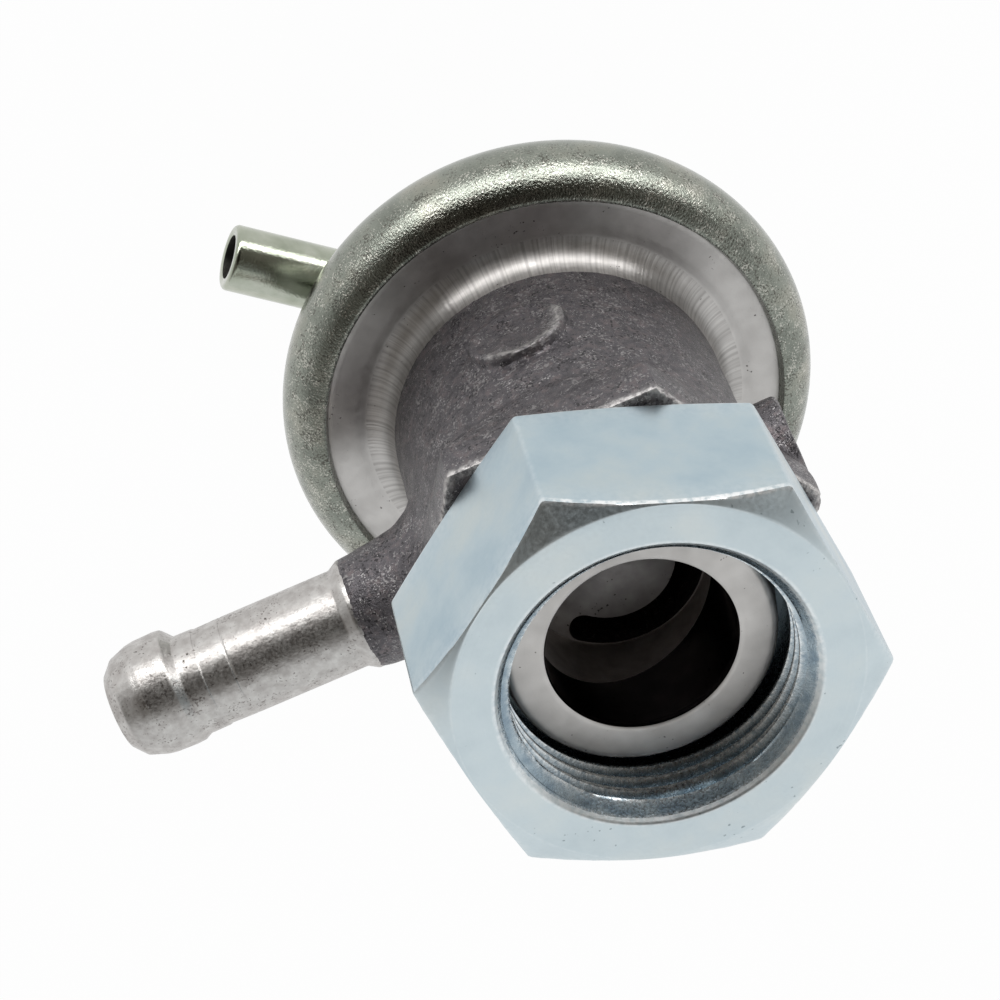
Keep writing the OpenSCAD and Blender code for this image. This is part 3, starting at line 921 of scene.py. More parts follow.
    def distance(self, p: np.ndarray) -> np.ndarray:
        """Signed distance to the cast middle: barrel, wrench hexagon, pad, boss and the blind boss opposite.

        Args:
            p: Points in millimetres.

        Returns:
            Distances, negative inside the casting.
        """
        x, y, z = p[..., 0], p[..., 1], p[..., 2]
        r = np.hypot(x, y)
        # The pad and the blind boss start inside the barrel, and the casting's foot inside the turned fillet.
        root = 5.0
        foot = self.flange_top + self.flange_fillet - 0.05
        wall = np.where(z > foot, self.barrel_r, self.barrel_r - 0.5)
        barrel = np.maximum(np.maximum(r - wall, z - self.hex_high + 1), self.flange_base + 3 - z)
        stub = rounded(np.hypot(y, z - self.stub_z) - self.stub_r, np.maximum(x - self.stub_end, root - x),
                       self.stub_round)
        pad = rounded(np.hypot(x, z - self.pad_z) - self.pad_r, y - self.pad_face(x, z), self.pad_round)
        solid = smooth_min(barrel, self.hexagon(p), self.hex_blend)
        solid = smooth_min(solid, self.spigot_boss(p), self.boss_blend)
        solid = smooth_min(solid, np.maximum(pad, root - y), self.pad_blend)
        solid = smooth_min(solid, stub, self.stub_blend)
        solid = np.minimum(solid, self.flash(p)) - self.lumps(p) * np.clip((z - foot) / 0.6, 0, 1)
        hollow = np.minimum(np.maximum(r - self.chamber_r, z - self.roof_z),
                            np.maximum(r - self.inlet_r - 0.05, self.roof_z - 1 - z))
        socket = np.maximum(np.hypot(y, z - self.spigot_z) - self.socket_r,
                            x + self.boss_end - self.socket_depth)
        return np.maximum(solid, -np.minimum(hollow, socket))

    def flange(self) -> Shell:
        """Turn the flange ring that the rolled rim holds, with its concave fillet.

        Returns:
            The closed ring.
        """
        fillet_steps = 14
        hidden = 3
        fillet_c = (self.barrel_r + self.flange_fillet, self.flange_top + self.flange_fillet)
        low = math.degrees(math.asin((self.flange_base - RIM_Z) / self.rim_in))
        high = math.degrees(math.asin((self.flange_top - RIM_Z) / self.rim_in))
        face_r = self.rim_c + self.rim_in * math.cos(math.radians(high))
        face = [(r, self.flange_top) for r in np.linspace(face_r, fillet_c[0], 8)][1:-1]
        profile = [(self.mouth_r, self.flange_base)]
        profile += arc((self.rim_c, RIM_Z), self.rim_in, low, high, 16)
        profile += face
        profile += arc(fillet_c, self.flange_fillet + 0.06, 270, 181, fillet_steps)
        inside = self.barrel_r - 0.9
        ledge = self.flange_base + 2.6
        profile += [(inside, fillet_c[1] - 0.1), (inside, ledge), (self.mouth_r, ledge)]
        skins = [BodySkin.TURNED] * (len(profile) - fillet_steps - hidden)
        skins += [BodySkin.CHATTERED] * fillet_steps + [BodySkin.TURNED] * hidden
        return lathe(profile, 288, skins)

    def neck(self) -> Shell:
        """Turn the inlet neck, with its ring's groove and its bore, where the reamed part with its painted
        shade ends aslant above the drilled foot with its painted light.

        Returns:
            The closed neck.
        """
        top = self.neck_top
        groove = arc((self.ring_z, self.groove_c), self.groove_r, 246, 114, 10)
        outside = [(r, z) for z, r in groove]
        wall = [(self.inlet_r, z)
                for z in (self.floor_z - 0.6, self.floor_z + self.ream_and_shade_rise, top - 1.0, top - 0.2)]
        lip = [(self.inlet_r + 0.07, top - 0.06), (self.inlet_r + 0.2, top)]
        face = [(r, top) for r in np.linspace(self.inlet_r + 0.5, self.neck_r - 0.9, 6)]
        edge = arc((self.neck_r - 0.7, top - 0.7), 0.7, 90, 0, 8)
        profile = wall + lip + face + edge + outside[::-1]
        profile += [(self.neck_r, self.hex_high + 0.3), (self.neck_r, self.hex_high - 1.4),
                    (self.inlet_r + 1.2, self.hex_high - 1.5), (self.inlet_r + 1.2, self.floor_z - 0.6)]
        skins = [BodySkin.BORED_AND_LIT] + [BodySkin.REAMED_AND_SHADED] * (len(wall) - 1)
        skins += [BodySkin.TURNED] * (len(profile) - len(wall))
        columns = 240
        shell = lathe(profile, columns, skins)
        end = shell.points[columns:2 * columns]
        # Painted light and shade: the line between the light foot and the dark reamed wall runs aslant.
        end[:, 2] -= self.ream_and_shade_slant * end[:, 0] / self.inlet_r
        return shell

    def core(self) -> list[Shell]:
        """Make the inlet's floor, with the hub of the valve seat and the bridge beside the curved passage.

        Returns:
            The hub, the ledge round the passage and the bridge.
        """
        ease = 0.00003
        seat_r = (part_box("valve_seat")[1][0] + ease) / MM
        seat_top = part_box("valve_seat")[1][2] / MM + 0.2
        low = self.roof_z - 0.9
        hub = [(seat_r, low), (self.slot_in_r, low), (self.slot_in_r, self.floor_z)]
        hub += [(r, self.floor_z) for r in np.linspace(self.slot_in_r - 0.5, 0.0, 8)]
        hub += [(0.0, seat_top), (seat_r, seat_top)]
        ledge_r = self.inlet_r + 0.6
        ledge = [(self.slot_out_r, low + 1), (self.slot_out_r, self.floor_z), (ledge_r, self.floor_z),
                 (ledge_r, low + 1)]
        hub_skins = [BodySkin.CAST] * 2 + [BodySkin.DRILLED] * (len(hub) - 4) + [BodySkin.CAST] * 2
        ledge_skins = [BodySkin.CAST, BodySkin.DRILLED, BodySkin.CAST, BodySkin.CAST]
        return [lathe(hub, 144, hub_skins), lathe(ledge, 192, ledge_skins), self.bridge(low + 1)]

    def bridge(self, low: float) -> Shell:
        """The solid web between the round ends of the curved passage.

        Args:
            low: Height of its hidden lower end.

        Returns:
            The closed web.
        """
        mid = (self.slot_in_r + self.slot_out_r) / 2
        half = (self.slot_out_r - self.slot_in_r) / 2
        radii = mid + (half + 0.02) * np.sin(np.linspace(-math.pi / 2, math.pi / 2, 17))
        bulge = np.arcsin(np.sqrt(np.maximum(half ** 2 - (radii - mid) ** 2, 0)) / radii)
        start = math.radians(self.slot_end) + bulge
        turn = start[:, None] + (TURN - 2 * start)[:, None] * np.linspace(0, 1, 25)
        rows, columns = turn.shape
        reach = np.repeat(radii[:, None], columns, 1)
        sheet = polar(reach, turn, self.floor_z).reshape(-1, 3)
        number = np.arange(rows * columns).reshape(rows, columns)
        top = faces_of(number[:-1, :-1], number[1:, :-1], number[1:, 1:], number[:-1, 1:])
        rim = np.concatenate([number[0], number[1:, -1], number[-1, -2::-1], number[-2:0:-1, 0]])
        ahead = np.roll(rim, -1)
        walls = faces_of(rim, ahead, ahead + rows * columns, rim + rows * columns)
        quads = np.concatenate([top, top[:, ::-1] + rows * columns, walls])
        points = np.concatenate([sheet, sheet + (0, 0, low - self.floor_z)])
        place = np.concatenate([np.stack([turn / TURN, reach], -1).reshape(-1, 2)] * 2)
        skins = np.repeat([BodySkin.DRILLED, BodySkin.CAST], [len(top), len(top) + len(walls)])
        return Shell(points, quads, place[quads], skins, np.zeros(len(points)))

    def spigot(self) -> Shell:
        """Turn the return spigot, with its hose bead, tool steps and bore.

        Returns:
            The closed spigot, lying along -X.
        """
        bore = self.hose_bore
        root = self.tip - self.boss_end
        # Radius and distance from the tip: chamfer, bead, its back, two tool steps and the cut into the boss.
        outline = facets([(bore + 0.35, 0.1), (3.2, 0.1), (4.26, 1.08), (4.83, 2.58), (4.95, 3.3),
                          (4.95, 5.1), (4.86, 5.72), (4.28, 6.5), (4.25, 8.2), (4.17, 8.3), (4.22, 10.6),
                          (4.16, 10.68), (4.22, 10.8), (4.22, root - 1.0), (4.74, root - 0.12),
                          (4.72, root + 0.25), (4.5, root + 0.6)], 0.07)
        hidden = [(4.3, root + 2.5), (bore, root + 2.5)]
        wall = [(bore, s) for s in np.linspace(root + 1.5, 0.7, 8)] + [(bore + 0.08, 0.3)]
        shell = lathe(outline + hidden + wall, 160, BodySkin.SCUFFED,
                      lambda a, s: 0.04 * np.sin(2 * a + 0.9 * s) * ((s > 0.3) & (s < 6.2)))
        bead = np.clip(self.bead_foot - shell.points[:, 2], 0, 1)[:, None]
        shell.points[:, :2] += bead * np.array(self.bead_shift)
        turn = Matrix(((0, 0, 1), (0, 1, 0), (-1, 0, 0))).to_4x4()
        return shell.moved(Matrix.Translation((-self.tip, 0, self.spigot_z)) @ turn)

    def build(self, finishes: Sequence[Material]) -> Piece:
        """Make the body's mesh and put it in the body's place.

        Args:
            finishes: Materials by body finish.

        Returns:
            The dressed piece.
        """
        low = (-22.2, -17.4, self.flange_base + 2)
        high = (19.2, 17.4, self.hex_high + 1)
        cast = surface_nets(self.distance, low, high, self.mesh_pitch)
        cast.wear = self.lightened_edges(cast.points)
        shells = [cast, self.flange(), self.neck(), self.spigot()] + self.core()
        piece = make_piece("regulator_body", shells, finishes)
        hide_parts("body")
        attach(piece, "housing")
        return piece


@dataclass
class UnionNut:
    """The hexagonal union nut with its thread, in millimetres."""

    across_flats: float = 32.0
    turn: float = 37.0
    corner_round: float = 0.55
    face_r: float = 15.85
    back_r: float = 15.6
    chamfer: float = 30.0
    back_chamfer: float = 12.0
    collar_r: float = 11.0
    collar_t: float = 3.0
    relief_r: float = 12.3
    minor_r: float = 11.19
    major_r: float = 12.05
    mouth_r: float = 12.6
    pitch: float = 1.5
    thread_steps: int = 15
    thread_low: float = RIM_Z + 40.0
    land_r: float = 13.0
    front_band: float = 0.5
    back_band: float = 0.3
    play: Point = (0.15, -0.12)
    low: float = field(default_factory=lambda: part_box("union_nut")[0][2] / MM)
    high: float = field(default_factory=lambda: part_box("union_nut")[1][2] / MM)

    def outline(self) -> tuple[np.ndarray, np.ndarray, np.ndarray]:
        """Follow the rounded hexagon.

        Returns:
            Angles, outer radii and corner wear, round the nut.
        """
        angles, radii, wear = [], [], []
        inner = self.across_flats / 2 - self.corner_round
        corner = inner / math.cos(math.pi / 6)
        for side in range(6):
            start = math.radians(self.turn + 60 * side)
            for bend in np.linspace(-30, 30, 7):
                a = start + math.radians(bend)
                xy = (corner * math.cos(start) + self.corner_round * math.cos(a),
                      corner * math.sin(start) + self.corner_round * math.sin(a))
                angles.append(math.atan2(xy[1], xy[0]))
                radii.append(math.hypot(*xy))
                wear.append(1.0 - abs(bend) / 30)
            half = inner * math.tan(math.pi / 6)
            for along in np.linspace(-half, half, 32)[1:-1]:
                a = start + math.pi / 6 + math.atan2(along, self.across_flats / 2)
                angles.append(a)
                radii.append(math.hypot(along, self.across_flats / 2))
                wear.append(0.0)
        order = np.argsort(np.mod(angles, TURN))
        return np.mod(angles, TURN)[order], np.array(radii)[order], np.array(wear)[order]

    def rows(self, radii: np.ndarray, corner_wear: np.ndarray, edge_lightening: np.ndarray) -> tuple[list, list, list]:
        """Rings of the nut's outside, from the mouth over the face down to the collar.

        Args:
            radii: Outer radius at each column.
            corner_wear: Wear of the corner at each column.
            edge_lightening: How far the front edge is lightened at each column, for wear and painted
                highlight.

        Returns:
            Radius and height of each ring, its wear and its finish.
        """
        flat = np.ones_like(radii)
        burr = 0.04
        bead = np.random.default_rng(7).uniform(-burr, burr, len(radii))
        slope, back = math.tan(math.radians(self.chamfer)), math.tan(math.radians(self.back_chamfer))
        front = self.high - (radii - self.face_r) * slope
        rear = self.low + (radii - self.back_r) * back
        rings, wear, skins = [], [], []

        def ring(r: np.ndarray | float, z: np.ndarray | float, worn: np.ndarray | float = 0.0,
                 skin: NutSkin = NutSkin.TURNED) -> None:
            """Keep one ring.

            Args:
                r: Radius at each column.
                z: Height at each column.
                worn: Wear at each column.
                skin: Finish of the faces after the ring.
            """
            rings.append((r * flat, z * flat))
            wear.append(worn * flat)
            skins.append(skin)

        cut = self.mouth_r - self.major_r
        for t in (0.35, 0.7, 0.93):
            ring(self.major_r + cut * t, self.high - (1 - t) * cut, 0.55)
        ring(self.mouth_r + 0.08, self.high, 0.35)
        for r in np.linspace(self.mouth_r + 0.25, self.face_r - 0.15, 8):
            ring(r, self.high)
        ring(self.face_r - 0.02, self.high - 0.012, 0.15)
        gap = radii - self.face_r
        for t in (0.08, 0.3, 0.6):
            ring(self.face_r + gap * t, self.high - gap * t * slope)
        for inset, share, worn in ((0.36, 0.3, 0.1), (0.2, 0.18, 0.9 * edge_lightening)):
            r = radii - np.minimum(inset, share * gap)
            ring(r + bead * worn * np.minimum(gap, 1), self.high - (r - self.face_r) * slope, worn)
        ring(radii - 0.05 + bead / 2, front, edge_lightening, NutSkin.DRAWN)
        ring(radii, front - 0.3 + bead, 0.9 * edge_lightening, NutSkin.DRAWN)
        ring(radii, front - self.front_band, 0.1 + 0.1 * corner_wear, NutSkin.DRAWN)
        fall = rear - front + (self.front_band + self.back_band)
        for t in (0.2, 0.4, 0.6, 0.8):
            ring(radii, front - self.front_band + fall * t, 0.15 * corner_wear, NutSkin.DRAWN)
        ring(radii, rear + self.back_band, 0.1 + 0.1 * corner_wear, NutSkin.DRAWN)
        ring(radii - 0.04, rear + 0.06, 0.4, NutSkin.DRAWN)
        ring(radii - 0.18, rear - 0.18 * back, 0.2)
        ring(self.back_r - 0.1, self.low)
        ring(self.land_r, self.low)
        ring(self.collar_r + 0.3, self.low)
        ring(self.collar_r, self.low + 0.3)
        ring(self.collar_r, self.low + self.collar_t - 0.15)
        ring(self.collar_r + 0.15, self.low + self.collar_t)
        ring(self.relief_r, self.low + self.collar_t, 0.0, NutSkin.THREAD)
        ring(self.relief_r, self.thread_low - (self.relief_r - self.major_r), 0.0, NutSkin.THREAD)
        return rings, wear, skins

    def thread(self, angles: np.ndarray) -> np.ndarray:
        """Rings that follow the thread's helix, cut off by the relief and the countersunk mouth.

        Args:
            angles: Angle of each column.

        Returns:
            Radius and height of each ring by column, from the bottom up.
        """
        steps = self.thread_steps
        rise = self.pitch / steps
        top = self.high - (self.mouth_r - self.major_r)
        count = int(math.ceil((top - self.thread_low + self.pitch) / rise)) + 1
        k = np.arange(count)[:, None]
        z = self.thread_low - self.pitch + k * rise + self.pitch * angles[None, :] / TURN
        phase = np.mod(k / steps, 1.0) * np.ones_like(z)
        # A root flat of an eighth of the pitch and a crest flat of a quarter, with the flanks between them.
        flank = np.clip((np.abs(phase - 0.5) - 1 / 16) / (5 / 16), 0, 1)
        r = self.major_r + (self.minor_r - self.major_r) * flank
        r = np.maximum(r, self.mouth_r - (self.high - z))
        r = np.maximum(r, self.major_r - (z - self.thread_low))
        r = np.where((z >= top) | (z <= self.thread_low), self.major_r, r)
        return np.stack([r, np.clip(z, self.thread_low, top)], -1)

    def outside(self) -> Shell:
        """Skin the nut's outside, open where the thread stands.

        Returns:
            The skin.
        """
        angles, radii, corner_wear = self.outline()
        middle = math.radians(self.turn + 30)
        off = np.mod(angles - middle + math.pi, TURN) - math.pi
        # Painted highlight over wear: the front edge of the side that faces the light is lightened most, and
        # the others only a little.
        edge_lightening = 0.2 + 0.8 * np.exp(-(off / math.radians(30)) ** 8)
        rings, wear, skins = self.rows(radii, corner_wear, edge_lightening)
        top = self.high - (self.mouth_r - self.major_r)
        first, last = [polar(self.major_r, angles, z)[None] for z in (top, self.thread_low)]
        rows = np.stack([polar(r, angles, z) for r, z in rings])
        worn = np.stack([np.full(len(angles), 0.2)] + wear + [np.zeros(len(angles))])
        return Shell.of_grid(np.concatenate([first, rows, last]), [NutSkin.THREAD] + skins + [NutSkin.THREAD],
                             worn, closed=False)

    def turns(self) -> Shell:
        """Skin the thread, where each row ends one turn higher than it starts.

        Returns:
            The skin, with crests lightened for bare metal and painted highlight.
        """
        angles = self.outline()[0]
        helix = self.thread(angles)
        count, columns = helix.shape[:2]
        k, j = np.meshgrid(np.arange(count - 1), np.arange(columns), indexing="ij")
        j2 = (j + 1) % columns
        lift = np.where(j2 == 0, self.thread_steps, 0)
        quads = faces_of(k * columns + j, np.minimum(k + lift, count - 1) * columns + j2,
                         np.minimum(k + 1 + lift, count - 1) * columns + j2, (k + 1) * columns + j)
        rise = self.pitch / self.thread_steps
        uv = cell_uv(j / columns, (j + 1) / columns, k * rise, (k + 1) * rise)
        # The crests take the light colour: bare metal and painted highlight.
        crest = np.clip((self.major_r - helix[..., 0]) / (self.major_r - self.minor_r), 0, 1) ** 4
        points = polar(helix[..., 0], angles, helix[..., 1]).reshape(-1, 3)
        return Shell(points, quads, uv, np.full(len(quads), NutSkin.THREAD), crest.reshape(-1))

    def build(self, finishes: Sequence[Material]) -> Piece:
        """Make the nut's mesh and put it in the nut's place.

        Args:
            finishes: Materials by nut finish.

        Returns:
            The dressed piece.
        """
        loose = Matrix.Translation((*self.play, 0.0))
        shells = [self.outside().moved(loose), self.turns().moved(loose)]
        piece = make_piece("hex_union_nut", shells, finishes, 32.0)
        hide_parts("union_nut")
        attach(piece, "nut")
        return piece


@dataclass
class SpringCover:
    """The pressed spring cover with its rolled rim, in millimetres."""

    dome_r: float = 13.5
    end_round: float = 4.0
    fillet: float = 3.0
    sheet: float = 1.05
    bend_r: float = 3.6
    lip_angle: float = 72.0
    dent_r: float = 4.5
    dent: float = 1.0
    dent_round: float = 0.5
    foot_r: float = 9.0
    eased_from: float = -5.0
    rolled_from: float = 14.0
    rim_r: float = field(default_factory=lambda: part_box("spring_cover")[1][0] / MM)

    def profile(self) -> list[Point]:
        """Draw the sheet's section, from the dent's middle over the outside to the lip and back inside.

        Returns:
            Radius and height of each corner.
        """
        t = self.sheet
        outer = self.bend_r + t
        centre = (self.rim_r - outer, RIM_Z)
        under = RIM_Z - outer
        soft = self.dent_round
        out = [(0.0, self.dent), (self.dent_r - 0.8, self.dent)]
        out += arc((self.dent_r - 0.8, self.dent - soft), soft, 90, 20, 5)
        out += arc((self.dent_r + 0.6, soft), soft, 200, 270, 5)
        out += [(self.foot_r, 0.0)]
        out += arc((self.dome_r - self.end_round, self.end_round), self.end_round, -90, 0, 14)
        out += [(self.dome_r, z) for z in np.linspace(6, under - self.fillet - 0.5, 8)]
        out += arc((self.dome_r + self.fillet, under - self.fillet), self.fillet, 180, 90, 10)
        out += arc(centre, outer, -88, self.lip_angle - 2, 56)
        lip = math.radians(self.lip_angle)
        edge = [(centre[0] + r * math.cos(lip), centre[1] + r * math.sin(lip))
                for r in (outer - 0.12, outer - 0.35, self.bend_r + 0.35, self.bend_r + 0.08)]
        back = arc(centre, self.bend_r, self.lip_angle - 2, -90, 30)
        inside = arc((self.dome_r + self.fillet, under - self.fillet), self.fillet + t, 90, 180, 10)
        inside += arc((self.dome_r - self.end_round, self.end_round), self.end_round - t, 0, -90, 10)
        inside += [(self.dent_r + t, t), (self.dent_r + t, self.dent + t - 0.3), (self.dent_r, self.dent + t),
                   (0.0, self.dent + t)]
        return out + edge + back + inside

    def skins(self, profile: Sequence[Point]) -> list[CoverSkin]:
        """Choose each stretch's finish by how far the rim has been rolled over there.

        Args:
            profile: The section.

        Returns:
            Finish of the stretch after each corner.
        """
        middle = self.rim_r - self.bend_r - self.sheet
        found = []
        for r, z in profile:
            rolled = math.degrees(math.atan2(z - RIM_Z, r - middle))
            outside = r > self.dome_r + self.fillet and math.hypot(r - middle, z - RIM_Z) > self.bend_r + 0.3
            if not outside or rolled < self.eased_from:
                found.append(CoverSkin.DRAWN)
            elif rolled < self.rolled_from:
                found.append(CoverSkin.EASED)
            else:
                found.append(CoverSkin.ROLLED)
        return found

    def build(self, finishes: Sequence[Material]) -> Piece:
        """Make the cover's mesh and put it in the cover's place.

        Args:
            finishes: Materials by cover finish.

        Returns:
            The dressed piece.
        """
        profile = self.profile()
        shell = lathe(profile, 320, self.skins(profile))
        piece = make_piece("pressed_spring_cover", [shell], finishes, 40.0)
        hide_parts("spring_cover")
        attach(piece, "housing")
        return piece


@dataclass
class VacuumPipe:
    """The vacuum pipe that stands out of the cover's side, in millimetres."""

    outer_r: float = 2.95
    bore_r: float = 1.9
    angle: float = 139.0
    start: float = 12.125
    foot: float = 13.5
    end: float = 28.2
    tip_round: float = 0.42

    def build(self, finishes: Sequence[Material]) -> Piece:
        """Make the pipe's mesh with its brazed foot and put it in the pipe's place.

        Args:
            finishes: Materials by pipe finish.

        Returns:
            The dressed piece.
        """
        tip = self.tip_round
        stub = (self.outer_r + self.bore_r) / 2
        profile = [(self.bore_r, self.start), (stub, self.start), (stub, self.foot - 0.6)]
        # The brazed foot flares out to the cover in three corners.
        profile += [(self.outer_r + r, self.foot + s) for r, s in ((0.75, -0.55), (0.5, 0.3), (0.16, 0.7))]
        profile += [(self.outer_r, s) for s in np.linspace(self.foot + 1.2, self.end - tip - 0.1, 10)]
        profile += arc((self.outer_r - tip, self.end - tip), tip, 0, 90, 6)
        profile += [(self.bore_r + r, self.end - s) for r, s in ((0.22, 0.0), (0.06, 0.08), (0.0, 0.3))]
        profile += [(self.bore_r, s) for s in np.linspace(self.end - 2, self.start + 1, 5)]
        inner = sum(r <= self.bore_r + 0.1 for r, _ in profile) - 1
        skins = [PipeSkin.PLATED] * (len(profile) - inner) + [PipeSkin.BARE] * inner
        shell = lathe(profile, 96, skins)
        turn = Matrix.Rotation(math.radians(self.angle), 4, "Z") @ Matrix.Rotation(math.pi / 2, 4, "Y")
        shell = shell.moved(Matrix.Translation((0, 0, PIPE_Z)) @ turn)
        piece = make_piece("vacuum_hose_pipe", [shell], finishes)
        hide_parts("vacuum_pipe")
        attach(piece, "housing")
        return piece


@dataclass
class CoilSpring:
    """A coil spring with closed end turns, made from a node tree, in millimetres."""

    node: str
    name: str
    mean_r: float
    wire_d: float
    turns: float
    body: str

    def tree(self, finish: Material) -> tuple[Tree, dict[str, str]]:
        """Build the node tree that winds the wire.

        Args:
            finish: Material of the wire.

        Returns:
            The tree, and each named input's identifier.
        """
        made = bpy.data.node_groups.new(self.name, "GeometryNodeTree")
        made.interface.new_socket("Geometry", in_out="OUTPUT", socket_type="NodeSocketGeometry")
        keys = {}
        for label in ("Mean Radius", "Wire Radius", "Height", "Turns", "Base"):
            socket = made.interface.new_socket(label, in_out="INPUT", socket_type="NodeSocketFloat")
            keys[label] = socket.identifier
        size = add(made, "NodeGroupInput").outputs
        turns, wire_r = size["Turns"], size["Wire Radius"]
        steps_per_turn = 48
        line = add(made, "GeometryNodeResampleCurve",
                   {"Curve": add(made, "GeometryNodeCurvePrimitiveLine").outputs["Curve"],
                    "Count": int(steps_per_turn * self.turns)})
        share = add(made, "GeometryNodeSplineParameter").outputs["Factor"]
        wound = maths(made, "MULTIPLY", share, turns)
        angle = maths(made, "MULTIPLY", wound, TURN)
        # The first and the last turn rise by a little over the wire, so they lie closed.
        closed = maths(made, "MULTIPLY", wire_r, 2.04)
        past = maths(made, "SUBTRACT", wound, maths(made, "SUBTRACT", turns, 1.0))
        ends = maths(made, "ADD", maths(made, "MINIMUM", wound, 1.0), maths(made, "MAXIMUM", past, 0.0))
        flat = maths(made, "MULTIPLY", ends, closed)
        # The turns between share what height is left.
        free = maths(made, "SUBTRACT", wound, ends)
        part = maths(made, "DIVIDE", free, maths(made, "SUBTRACT", turns, 2.0))
        spare = maths(made, "MULTIPLY_ADD", closed, -2.0, size["Height"])
        climb = maths(made, "MULTIPLY_ADD", part, maths(made, "MULTIPLY_ADD", wire_r, -2.0, spare), flat)
        height = maths(made, "ADD", maths(made, "ADD", climb, wire_r), size["Base"])
        across = [maths(made, "MULTIPLY", maths(made, kind, angle), size["Mean Radius"])
                  for kind in ("COSINE", "SINE")]
        spot = add(made, "ShaderNodeCombineXYZ", {"X": across[0], "Y": across[1], "Z": height})
        path = add(made, "GeometryNodeSetPosition",
                   {"Geometry": line.outputs["Curve"], "Position": spot.outputs["Vector"]})
        wire = add(made, "GeometryNodeCurvePrimitiveCircle", {"Resolution": 16, "Radius": wire_r})
        skin = add(made, "GeometryNodeCurveToMesh",
                   {"Curve": path.outputs["Geometry"], "Profile Curve": wire.outputs["Curve"],
                    "Fill Caps": True})
        real = add(made, "GeometryNodeRealizeInstances", {"Geometry": skin.outputs["Mesh"]})
        dressed = add(made, "GeometryNodeSetMaterial",
                      {"Geometry": real.outputs["Geometry"], "Material": finish})
        add(made, "NodeGroupOutput", {"Geometry": dressed.outputs["Geometry"]})
        return made, keys

    def build(self, finish: Material) -> Piece:
        """Wind the spring and put it in its node's place.

        Args:
            finish: Material of the wire.

        Returns:
            The dressed piece.
        """
        low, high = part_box(self.node)
        tree, keys = self.tree(finish)
        piece = bpy.data.objects.new(self.name, bpy.data.meshes.new(self.name))
        bpy.context.scene.collection.objects.link(piece)
        winding = piece.modifiers.new("winding", "NODES")
        winding.node_group = tree
        sizes = {"Mean Radius": self.mean_r * MM, "Wire Radius": self.wire_d * MM / 2,
                 "Height": high[2] - low[2], "Turns": self.turns, "Base": low[2]}
        for label, value in sizes.items():
            winding[keys[label]] = value
        shown = piece.evaluated_get(bpy.context.evaluated_depsgraph_get())
        wound = bpy.data.meshes.new_from_object(shown)
        piece.modifiers.clear()
        piece.data = wound
        wound.polygons.foreach_set("use_smooth", np.ones(len(wound.polygons), bool))
        wound.set_sharp_from_angle(angle=math.radians(50))
        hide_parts(self.node)
        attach(piece, self.body)
        return piece


@dataclass
class Diaphragm:
    """The rubber diaphragm with its rolling fold, in millimetres."""

    hole_r: float = 2.53
    web_r: float = 7.0
    fold_in_r: float = 12.0
    fold_out_r: float = 14.8
    clamp_r: float = 16.5
    thick: float = 0.8
    drop: float = 2.0

    def build(self, finish: Material) -> Piece:
        """Make the diaphragm's mesh and put it in its node's place.

        Args:
            finish: Material of the rubber.

        Returns:
            The dressed piece.
        """
        low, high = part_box("diaphragm")
        base, edge_r = low[2] / MM, high[0] / MM
        share = np.linspace(0, 1, 16)
        fold = [(self.fold_in_r + (self.fold_out_r - self.fold_in_r) * u,
                 base + self.drop * (1 - math.cos(math.pi * u)) / 2) for u in share]
        under = [(r, base) for r in (self.hole_r, self.web_r)] + fold
        under += [(r, base + self.drop) for r in (self.clamp_r, edge_r)]
        over = [(r, z + self.thick) for r, z in under[::-1]]
        piece = make_piece("rubber_diaphragm", [lathe(under + over, 160)], [finish])
        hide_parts("diaphragm")
        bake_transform(piece)
        return piece


